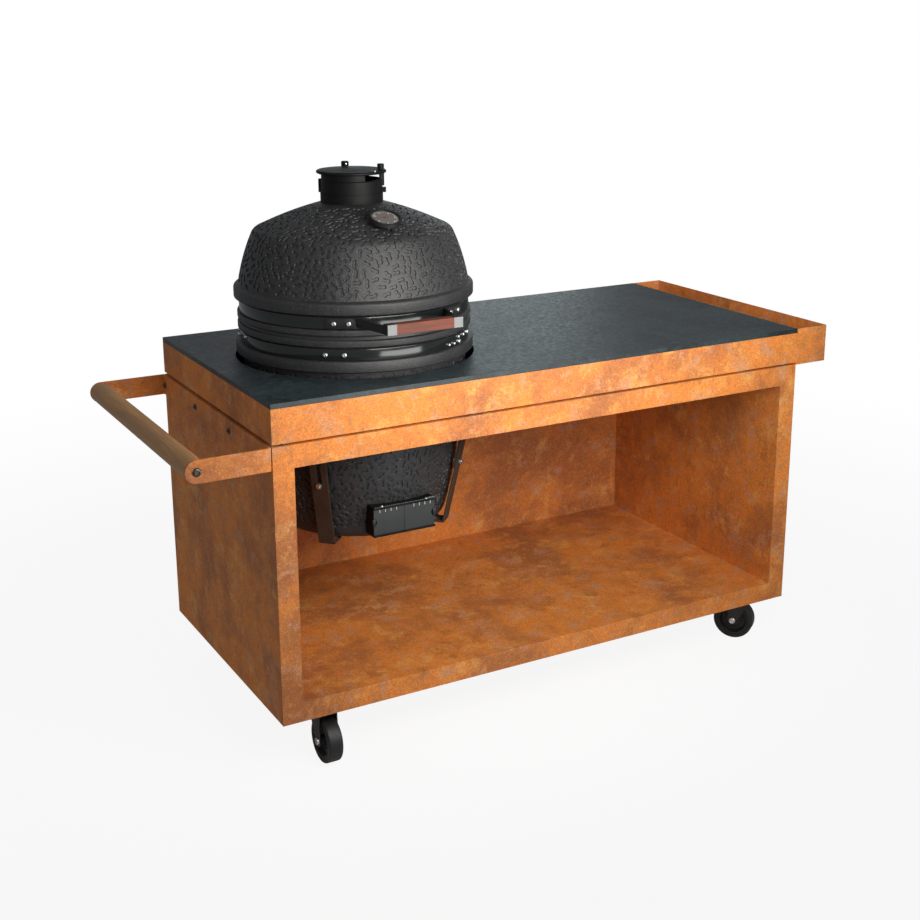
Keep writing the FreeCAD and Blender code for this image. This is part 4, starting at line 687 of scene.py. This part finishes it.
def add_marked_side(bm, shell, marks, crowd, hole=()):
    """Add the outside of a shell with its marks: a flat triangulation, laid on the shell."""
    flat, places, borders = [], [], []

    def add_loop(spots, closed=True):
        """Lay points on the side with a border through them, and give their numbers."""
        start = len(flat)
        for turn, length in spots:
            flat.append(shell.flat(turn, length))
            places.append(bm.verts.new(shell.place(turn, length)))
        ring = list(range(start, len(flat)))
        borders.extend(zip(ring, ring[1:] + ring[:1] if closed else ring[1:]))
        return ring

    rows = round(shell.total / GRID_STEP)
    turns = [-math.pi + math.tau * step / SHELL_STEPS for step in range(SHELL_STEPS + 1)]
    rises = [shell.total * row / rows for row in range(rows + 1)]
    add_loop([(turn, 0.0) for turn in turns] + [(math.pi, rise) for rise in rises[1:]]
             + [(turn, shell.total) for turn in turns[-2::-1]]
             + [(-math.pi, rise) for rise in rises[-2:0:-1]])
    first_mark = len(flat)
    sides = len(mark_outline(0.0))
    for mark in marks:
        add_loop([on_side(shell, mark, *point) for point in mark_outline(MARK_LIP)])
    last_mark = len(flat)
    hole_ring = add_loop(hole) if hole else []
    for row, rise in enumerate(rises[1:rows], 1):
        radius = shell.radius(rise)
        columns = max(round(math.tau * radius / GRID_STEP), LEAST_COLUMNS)
        shift = 0.5 * (row % 2) + 0.25
        for column in range(columns):
            turn = -math.pi + math.tau * (column + shift) / columns
            spot = shell.place(turn, rise)
            in_hole = (hole and abs(turn) < CLEAR_ASIDE / radius
                       and abs(spot.z - GRILL_FOOT - HOLE_MIDDLE * MM) < CLEAR_ABOVE * MM)
            if not crowd.near(spot, (MARK_REACH + GRID_CLEARANCE) * MM) and not in_hole:
                add_loop([(turn, rise)], closed=False)
    _, _, triangles, sources, _, _ = delaunay_2d_cdt(flat, borders, [], 0, 1e-9)
    for triangle in triangles:
        corners = [sources[corner][0] for corner in triangle]
        first = corners.index(min(corners))
        corners = corners[first:] + corners[:first]
        owners = {(corner - first_mark) // sides for corner in corners
                  if first_mark <= corner < last_mark}
        all_marks = all(first_mark <= corner < last_mark for corner in corners)
        if all_marks and len(owners) == 1 and corners[1] < corners[2]:
            continue
        if hole_ring and all(corner in hole_ring for corner in corners):
            continue
        bm.faces.new([places[corner] for corner in corners])
    for index, mark in enumerate(marks):
        outer = places[first_mark + index * sides:first_mark + (index + 1) * sides]
        for offset, depth in ((0.0, LIP_DEPTH), (-MARK_WALL, MARK_DEPTH)):
            inner = [bm.verts.new(shell.place(*on_side(shell, mark, *point), depth))
                     for point in mark_outline(offset)]
            for here in range(sides):
                there = (here + 1) % sides
                bm.faces.new((outer[here], outer[there], inner[there], inner[here]))
            outer = inner
        for here in range(1, sides // 2 - 1):
            bm.faces.new((outer[here], outer[here + 1], outer[sides - here - 1],
                          outer[sides - here]))
        bm.faces.new((outer[0], outer[1], outer[-1]))
        bm.faces.new(outer[sides // 2 - 1:sides // 2 + 2])


def close_shell(bm):
    """Join the marked side to the spun rest."""
    bmesh.ops.remove_doubles(bm, verts=bm.verts, dist=SEAM_GAP)
    bmesh.ops.recalc_face_normals(bm, faces=bm.faces)
    print("open edges:", sum(not edge.is_manifold for edge in bm.edges))


# %% The lid
LID_FOOT, LID_SHOULDER = (273.6, 580.6), (237.5, 698.5)
CONE_FOOT, CONE_MIDDLE, CONE_TOP = (222.0, 711.0), (138.5, 745.6), (55.0, 771.0)
COLLAR_LOW, COLLAR_MIDDLE, COLLAR_HIGH = (284.7, 571.5), (282.8, 575.9), (278.4, 577.8)
lid_side = ShellSide([LID_FOOT] + arc(LID_FOOT, (259.1, 641.75), LID_SHOULDER, 60)
                     + arc(LID_SHOULDER, (231.15, 706.15), CONE_FOOT, 14)
                     + arc(CONE_FOOT, CONE_MIDDLE, CONE_TOP, 90))
lowest_mark = MARK_REACH + 0.6
highest_mark = lid_side.level(762.0) - MARK_END
lid_marks, lid_crowd = scatter_marks(
    lid_side, lambda turn, length: lowest_mark < length < highest_mark, 70000, 7)
lid = spun([CONE_TOP, (55.0, 749.0), (131.2, 723.6), (190.0, 699.5), (210.0, 689.0),
            (215.5, 676.5)]
           + arc((215.5, 676.5), (237.1, 641.75), (242.5, 585.0), 4)
           + [(243.0, 501.0), (275.0, 501.0), (278.0, 504.3), (278.0, 516.4), (269.1, 516.4),
              (269.1, 545.7), (284.7, 551.5), COLLAR_LOW]
           + arc(COLLAR_LOW, COLLAR_MIDDLE, COLLAR_HIGH, 6) + [LID_FOOT],
           SHELL_STEPS, closed=False)
soften(lid, 0.9 * MM, lambda height: height < 580.0, angle=50.0)
add_marked_side(lid, lid_side, lid_marks, lid_crowd)
close_shell(lid)
add_piece("lid_ceramic", lid, "lid", "glazed_ceramic", glazed_ceramic, "lid_shell")

# %% The base, with the draft hole at the front
HEEL, BELLY, NECK = (215.0, 24.0), (245.0, 174.0), (268.0, 416.0)
base_side = ShellSide([HEEL] + arc(HEEL, (233.0, 99.0), BELLY, 60) + line(BELLY, NECK, 60))
hole_start, hole_end = base_side.level(HOLE_LOW), base_side.level(HOLE_HIGH)
hole_turn = HOLE_HALF / HOLE_RADIUS
hole_rise = hole_end - hole_start
BARE, BARE_TURN = 8.0, 0.035


def clear_of_hole(turn, length):
    """Whether a mark may lie here on the base: off its rims and off the hole."""
    beside = abs(turn) > hole_turn + BARE_TURN
    over = not hole_start - BARE < length < hole_end + BARE
    return BARE < length < base_side.total - BARE and (beside or over)


base_marks, base_crowd = scatter_marks(base_side, clear_of_hole, 90000, 11)
base = spun([NECK, (283.8, 421.5), (283.8, 445.5), (269.1, 445.5), (269.1, 473.2), (278.0, 478.0),
             (278.0, 491.4), (275.0, 493.5), (243.0, 493.5), (243.0, 416.0), (229.0, 261.0),
             (220.0, 174.0), (196.5, 76.0), (190.0, 49.0), (177.6, 36.0), (170.0, 28.0),
             (0.001, 28.0), (0.001, 0.0), (195.0, 0.0)]
            + arc((195.0, 0.0), (207.5, 9.0), HEEL, 6), SHELL_STEPS, closed=False)
soften(base, 0.9 * MM, lambda height: height > 418.0, angle=50.0)
hole = [(hole_turn * (step / 6 - 1.0), hole_start) for step in range(13)]
hole += [(hole_turn, hole_start + hole_rise * step / 6) for step in range(1, 7)]
hole += [(hole_turn * (1.0 - step / 6), hole_end) for step in range(1, 13)]
hole += [(-hole_turn, hole_end - hole_rise * step / 6) for step in range(1, 6)]


def in_draft_hole(face):
    """Whether a face of the inner wall lies where the draft comes in at the front."""
    middle = face.calc_center_median()
    beside = abs(middle.x - GRILL_X) < HOLE_HALF * MM
    return middle.y < 0.0 and beside and HOLE_LOW < (middle.z - GRILL_FOOT) / MM < HOLE_HIGH


holed = [face for face in base.faces if in_draft_hole(face)]
bmesh.ops.delete(base, geom=holed, context="FACES")
add_marked_side(base, base_side, base_marks, base_crowd, hole)
bmesh.ops.remove_doubles(base, verts=base.verts, dist=SEAM_GAP)
bmesh.ops.bridge_loops(base, edges=[edge for edge in base.edges if edge.is_boundary])
close_shell(base)
add_piece("base_ceramic", base, "table", "glazed_ceramic", glazed_ceramic, "base_shell")

# %% Bands of folded steel
for band_name, body, low, high in (
        ("base_band", "table", 446.0, 473.0), ("lid_band", "lid", 517.5, 545.5)):
    band = spun([(269.3, low), (273.3, low), (273.3, high), (269.3, high)], SHELL_STEPS)
    soften(band, 1.4 * MM, steps=3)
    add_piece(band_name + "_skin", band, body, "black_steel", gloss_enamel, band_name)

# %% [markdown]
# ## Bolts with sockets
# Every bolt on the grill and the table is a domed head with a socket for a key. One head is shaped
# once: a short cylinder, a round bevel at its rim, then a small inset face that is pushed in.
# Copies of its mesh are turned and set down wherever a bolt belongs.


# %% One bolt head and a way to set copies down
def bolt_head(radius, height, sides=20):
    """Mesh of a domed head on the level z = 0, with its socket."""
    bm = bmesh.new()
    bmesh.ops.create_cone(bm, cap_ends=True, segments=sides, radius1=radius, radius2=radius,
                          depth=height, matrix=Matrix.Translation((0.0, 0.0, height / 2)))
    rim = [edge for edge in bm.edges if all(vert.co.z > height * 0.9 for vert in edge.verts)]
    bevel_edges(bm, rim, height * 0.62, 4)
    top = max(bm.faces, key=lambda face: face.calc_center_median().z)
    bmesh.ops.inset_region(bm, faces=[top], thickness=radius * 0.08, depth=0.0)
    sunk = bmesh.ops.extrude_discrete_faces(bm, faces=[top])["faces"][0]
    bmesh.ops.translate(bm, vec=(0.0, 0.0, -height * 0.55), verts=sunk.verts)
    bmesh.ops.recalc_face_normals(bm, faces=bm.faces)
    mesh = bpy.data.meshes.new("bolt_head")
    bm.to_mesh(mesh)
    bm.free()
    return mesh


def set_down(bm, mesh, spot, outward):
    """Copy a mesh into a bmesh: its z axis turned outward and its origin at the spot."""
    before = len(bm.verts)
    bm.from_mesh(mesh)
    bm.verts.ensure_lookup_table()
    turn = Vector(outward).to_track_quat("Z", "Y").to_matrix().to_4x4()
    bmesh.ops.transform(bm, matrix=Matrix.Translation(spot) @ turn, verts=bm.verts[before:])


def around_grill(angle, radius, height):
    """Point and outward direction at an angle from the front, in millimetres on the grill."""
    outward = Vector((math.sin(math.radians(angle)), -math.cos(math.radians(angle)), 0.0))
    return Vector((GRILL_X, 0.0, GRILL_FOOT + height * MM)) + outward * radius * MM, outward


# %% Bolts on the bands
band_head = bolt_head(6.0 * MM, 5.0 * MM)
small_head = bolt_head(4.2 * MM, 5.5 * MM)
for name, body, radius, groups in (
        ("base_band_bolt", "table", 273.2, (
            (band_head, (-39.0, 459.5), (-30.0, 459.5), (37.0, 453.5), (50.0, 463.0),
             (93.0, 459.5), (97.0, 459.5)),
            (small_head, (27.0, 454.5), (31.5, 453.5), (36.0, 466.0), (42.0, 465.0),
             (-112.0, 466.0), (-109.0, 458.0), (-92.0, 468.0)))),
        ("lid_band_bolt", "lid", 276.5, (
            (band_head, (-34.4, 531.5), (-27.6, 531.5), (27.6, 531.5), (34.4, 531.5)),))):
    bolts = bmesh.new()
    for head, *places in groups:
        for angle, height in places:
            set_down(bolts, head, *around_grill(angle, radius, height))
    add_piece(name + "_heads", bolts, body, "stainless_steel", bright_steel, name + "s")


# %% Bolts on the push handle and the planter
def middle_of(name):
    """Middle of a solid's box."""
    low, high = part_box(name)
    return (low + high) / 2


HANDLE_PITCH, PLANTER_PITCH = 229.0 * MM, 180.0 * MM
BAR_SHEET, TROUGH_SHEET = 5.0 * MM, 3.0 * MM
LEFT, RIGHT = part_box("left_side_panel")[0].x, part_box("right_side_panel")[1].x
FRONT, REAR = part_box("left_side_panel")[0].y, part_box("back_panel")[1].y
bar_middle, trough_middle = middle_of("push_handle_bracket").z, middle_of("planter_trough").z
rod_x = middle_of("push_handle_rod").x
side_head, wide_head = bolt_head(7.5 * MM, 4.4 * MM), bolt_head(9.0 * MM, 5.0 * MM, 24)
side_bolts, rod_heads = bmesh.new(), bmesh.new()
for step in (-1.5, -0.5, 0.5, 1.5):
    set_down(side_bolts, side_head, (LEFT - BAR_SHEET, step * HANDLE_PITCH, bar_middle),
             (-1.0, 0.0, 0.0))
    set_down(side_bolts, side_head, (RIGHT + TROUGH_SHEET, step * PLANTER_PITCH, trough_middle),
             (1.0, 0.0, 0.0))
add_piece("panel_bolt_heads", side_bolts, "table", "dark_bolt", dark_steel, "panel_bolts")
for y, outward in ((FRONT, -1.0), (REAR, 1.0)):
    set_down(rod_heads, wide_head, (rod_x, y, bar_middle), (0.0, outward, 0.0))
add_piece("rod_bolt_heads", rod_heads, "table", "dark_bolt", dark_steel, "rod_bolts")

# %% [markdown]
# ## Caster wheels and their axles
# Each wheel is a turned shape: a tyre with round shoulders, a thin groove where it grips the rim,
# two ridges on the web and a hub. The way its axle points is read from the solid: across the axle
# a wheel is widest, along it narrowest.

# %% One wheel, turned about the x axis
WHEEL_SIDE = [
    (6.6, 20.0), (10.8, 20.0), (12.6, 18.6), (13.6, 8.0), (15.2, 5.2), (22.0, 5.0), (22.8, 7.0),
    (25.2, 7.0), (26.0, 5.0), (32.6, 5.0), (34.4, 7.2), (36.2, 14.8), (37.4, 16.9), (39.4, 17.4),
    (40.8, 17.2), (41.3, 15.9), (42.0, 15.9), (42.5, 17.3), (46.0, 18.0), (49.0, 18.0)]
SHOULDER = arc((49.0, 18.0), (52.53, 16.53), (54.0, 13.0), 5)
AXLE_RADIUS, AXLE_HALF = 6.0, 23.5
half_wheel = WHEEL_SIDE + SHOULDER + [(54.0, 4.5)]
wheel_outline = half_wheel + [(radius, -across) for radius, across in reversed(half_wheel)]


def turned_on_x(outline, steps):
    """Solid of revolution about the x axis from (radius, place along x) in millimetres."""
    bm = bmesh.new()
    points = [bm.verts.new((across * MM, 0.0, radius * MM)) for radius, across in outline]
    rim = [bm.edges.new(pair) for pair in zip(points, points[1:] + points[:1])]
    return turn_outline(bm, points, rim, (0.0, 0.0, 0.0), (1.0, 0.0, 0.0), steps)


def axle_turn(node):
    """Turn about z, in radians, from the x axis to the line on which a wheel is narrowest."""
    spots = [node.matrix_world @ vert.co for vert in node.data.vertices]

    def width(turn):
        """Extent of the wheel along a level line at this turn."""
        along = [spot.x * math.cos(turn) + spot.y * math.sin(turn) for spot in spots]
        return max(along) - min(along)

    return min((math.radians(step * 0.5) for step in range(360)), key=width)


for corner in CORNERS:
    wheel_name, axle_name = f"caster_wheel_{corner}", f"caster_axle_{corner}"
    stand = Matrix.Translation(middle_of(wheel_name)) @ Matrix.Rotation(
        axle_turn(nodes[wheel_name]), 4, "Z")
    wheel = turned_on_x(wheel_outline, 96)
    axle = turned_on_x([(AXLE_RADIUS, -AXLE_HALF), (AXLE_RADIUS, AXLE_HALF), (0.001, AXLE_HALF),
                        (0.001, -AXLE_HALF)], 24)
    for way in (1.0, -1.0):
        set_down(axle, wide_head, (way * AXLE_HALF * MM, 0.0, 0.0), (way, 0.0, 0.0))
    for bm in (wheel, axle):
        bmesh.ops.transform(bm, matrix=stand, verts=bm.verts)
    add_piece(f"wheel_skin_{corner}", wheel, f"wheel_{corner}", "wheel_black", wheel_rubber,
              wheel_name)
    add_piece(f"axle_skin_{corner}", axle, f"swivel_{corner}", "zinc_steel", bright_steel,
              axle_name)

# %% [markdown]
# ## A black sleeve that paints the shade below the cut-out
# The gap round the grill looks down into the table. A short black sleeve hangs there as painted
# shade, with a lip that covers the edge of the support plate, so that the gap stays dark.

# %% Black sleeve: painted shade in the gap
painted_gap_shade = spun([(297.0, 262.0), (298.5, 262.0), (298.5, 389.3), (289.2, 389.3), (289.2, 393.3),
              (288.3, 393.3), (288.3, 388.4), (297.0, 388.4)], 144)
add_piece("cut_out_painted_gap_shade", painted_gap_shade, "table", "black_steel", matt_enamel)

# %% [markdown]
# ## The draft door's scale and fittings
# The two sliding doors carry a row of light strokes that show how far they stand open. Painted
# strokes have next to no thickness, so each is a sliver of a block that lies on the sheet. The
# black finger tabs, the rail face and the edge of the spark screen are blocks too, and the two
# rail screws are bolt heads.


# %% Slivers and small blocks
def add_block(bm, low, high, width=0.0):
    """Box between two corners in millimetres on the grill; a width softens its edges."""
    low, high = (Vector((GRILL_X + x * MM, y * MM, GRILL_FOOT + z * MM))
                 for x, y, z in (low, high))
    size = Matrix.Diagonal((*(high - low), 1.0))
    made = bmesh.ops.create_cube(bm, size=1.0, matrix=Matrix.Translation((low + high) / 2) @ size)
    if width:
        edges = {edge for vert in made["verts"] for edge in vert.link_edges}
        bevel_edges(bm, list(edges), width * MM, 2)


# %% Strokes, tabs, screws and screen
for door, stroke_places, (tab_low, tab_high) in (
        ("left_draft_door", (-63.5, -49.0, -34.5, -20.0), (-83.0, -74.0)),
        ("right_draft_door", (25.0, 39.5, 54.0, 68.5), (74.0, 83.0))):
    strokes, tab = bmesh.new(), bmesh.new()
    for middle in stroke_places:
        add_block(strokes, (middle - 0.7, -250.2, 78.5), (middle + 0.7, -249.9, 86.0))
    add_block(tab, (tab_low, -252.6, 47.0), (tab_high, -249.9, 65.0), 1.2)
    add_piece(door + "_strokes", strokes, door, "dial_grey", pale_paint)
    add_piece(door + "_tab", tab, door, "black_steel", matt_enamel)
RAIL_TOP = 91.9
rail, screen, rail_screws = bmesh.new(), bmesh.new(), bmesh.new()
# The rail face takes the lighter enamel: its own tone with a painted highlight along the lower
# lip.
add_block(rail, (-79.6, -253.28, 20.2), (79.6, -252.4, 24.8), 0.35)
add_block(rail, (58.0, -252.9, RAIL_TOP), (80.0, -251.2, 96.0), 0.5)
add_piece("draft_rail_face", rail, "table", "black_steel", rail_tone_and_highlight)
for step in range(30):
    start = -76.0 + step * 5.1
    add_block(screen, (start, -252.2, RAIL_TOP), (start + 2.6, -251.0, 93.2))
add_piece("draft_screen_edge", screen, "table", "stainless_steel", plate_steel)
rail_screw = bolt_head(3.6 * MM, 3.2 * MM, 14)
for across in (-58.0, 58.0):
    spot = (GRILL_X + across * MM, -249.0 * MM, GRILL_FOOT + RAIL_TOP * MM)
    set_down(rail_screws, rail_screw, spot, (0.0, 0.0, 1.0))
add_piece("draft_rail_screws", rail_screws, "table", "stainless_steel", bright_steel)

# %% [markdown]
# ## The thermometer's dial
# The dial faces up the slope of the lid. Its strokes are set down in the dial's own level plane
# and then tilted with it, which is far easier than working out each stroke's place in the air.

# %% Dial strokes
DIAL_TILT, DIAL_STEM = math.radians(21.5), 8.0
FIRST_TURN, TURN_STEP = 120.0, 12.5
STROKE_RIM, STROKE_LEVEL, STROKE_HEIGHT = 28.5, 8.6, 0.25
dial_foot = Vector((GRILL_X, (-171.0 - DIAL_STEM * math.sin(DIAL_TILT)) * MM,
                    GRILL_FOOT + (733.2 + DIAL_STEM * math.cos(DIAL_TILT)) * MM))
dial_place = Matrix.Translation(dial_foot) @ Matrix.Rotation(DIAL_TILT, 4, "X")
dial_strokes = bmesh.new()
for step in range(25):
    length, width = (7.5, 2.0) if step % 4 == 0 else (3.6, 0.9)
    turn = Matrix.Rotation(math.radians(FIRST_TURN + step * TURN_STEP), 4, "Z")
    reach = Matrix.Translation((0.0, (STROKE_RIM - length / 2) * MM, STROKE_LEVEL * MM))
    size = Matrix.Diagonal((width, length, STROKE_HEIGHT, 1.0))
    bmesh.ops.create_cube(dial_strokes, size=MM, matrix=dial_place @ turn @ reach @ size)
add_piece("thermometer_strokes", dial_strokes, "lid", "dial_grey", pale_paint)

# %% [markdown]
# ## Small screws on the vent
# The finger knob and the pivot of the cap are each held by a set screw that looks towards the
# front.

# %% Set screws
KNOB_TURN, KNOB_RADIUS = -5.0, 8.9
set_screw = bolt_head(2.6 * MM, 1.6 * MM, 14)
cap_screws = bmesh.new()
_, aim = around_grill(KNOB_TURN, 0.0, 0.0)
set_down(cap_screws, set_screw, middle_of("vent_knob") + aim * KNOB_RADIUS * MM, aim)
set_down(cap_screws, set_screw, *around_grill(17.0, 81.8, 841.5))
add_piece("vent_set_screws", cap_screws, "vent_cap", "stainless_steel", bright_steel)
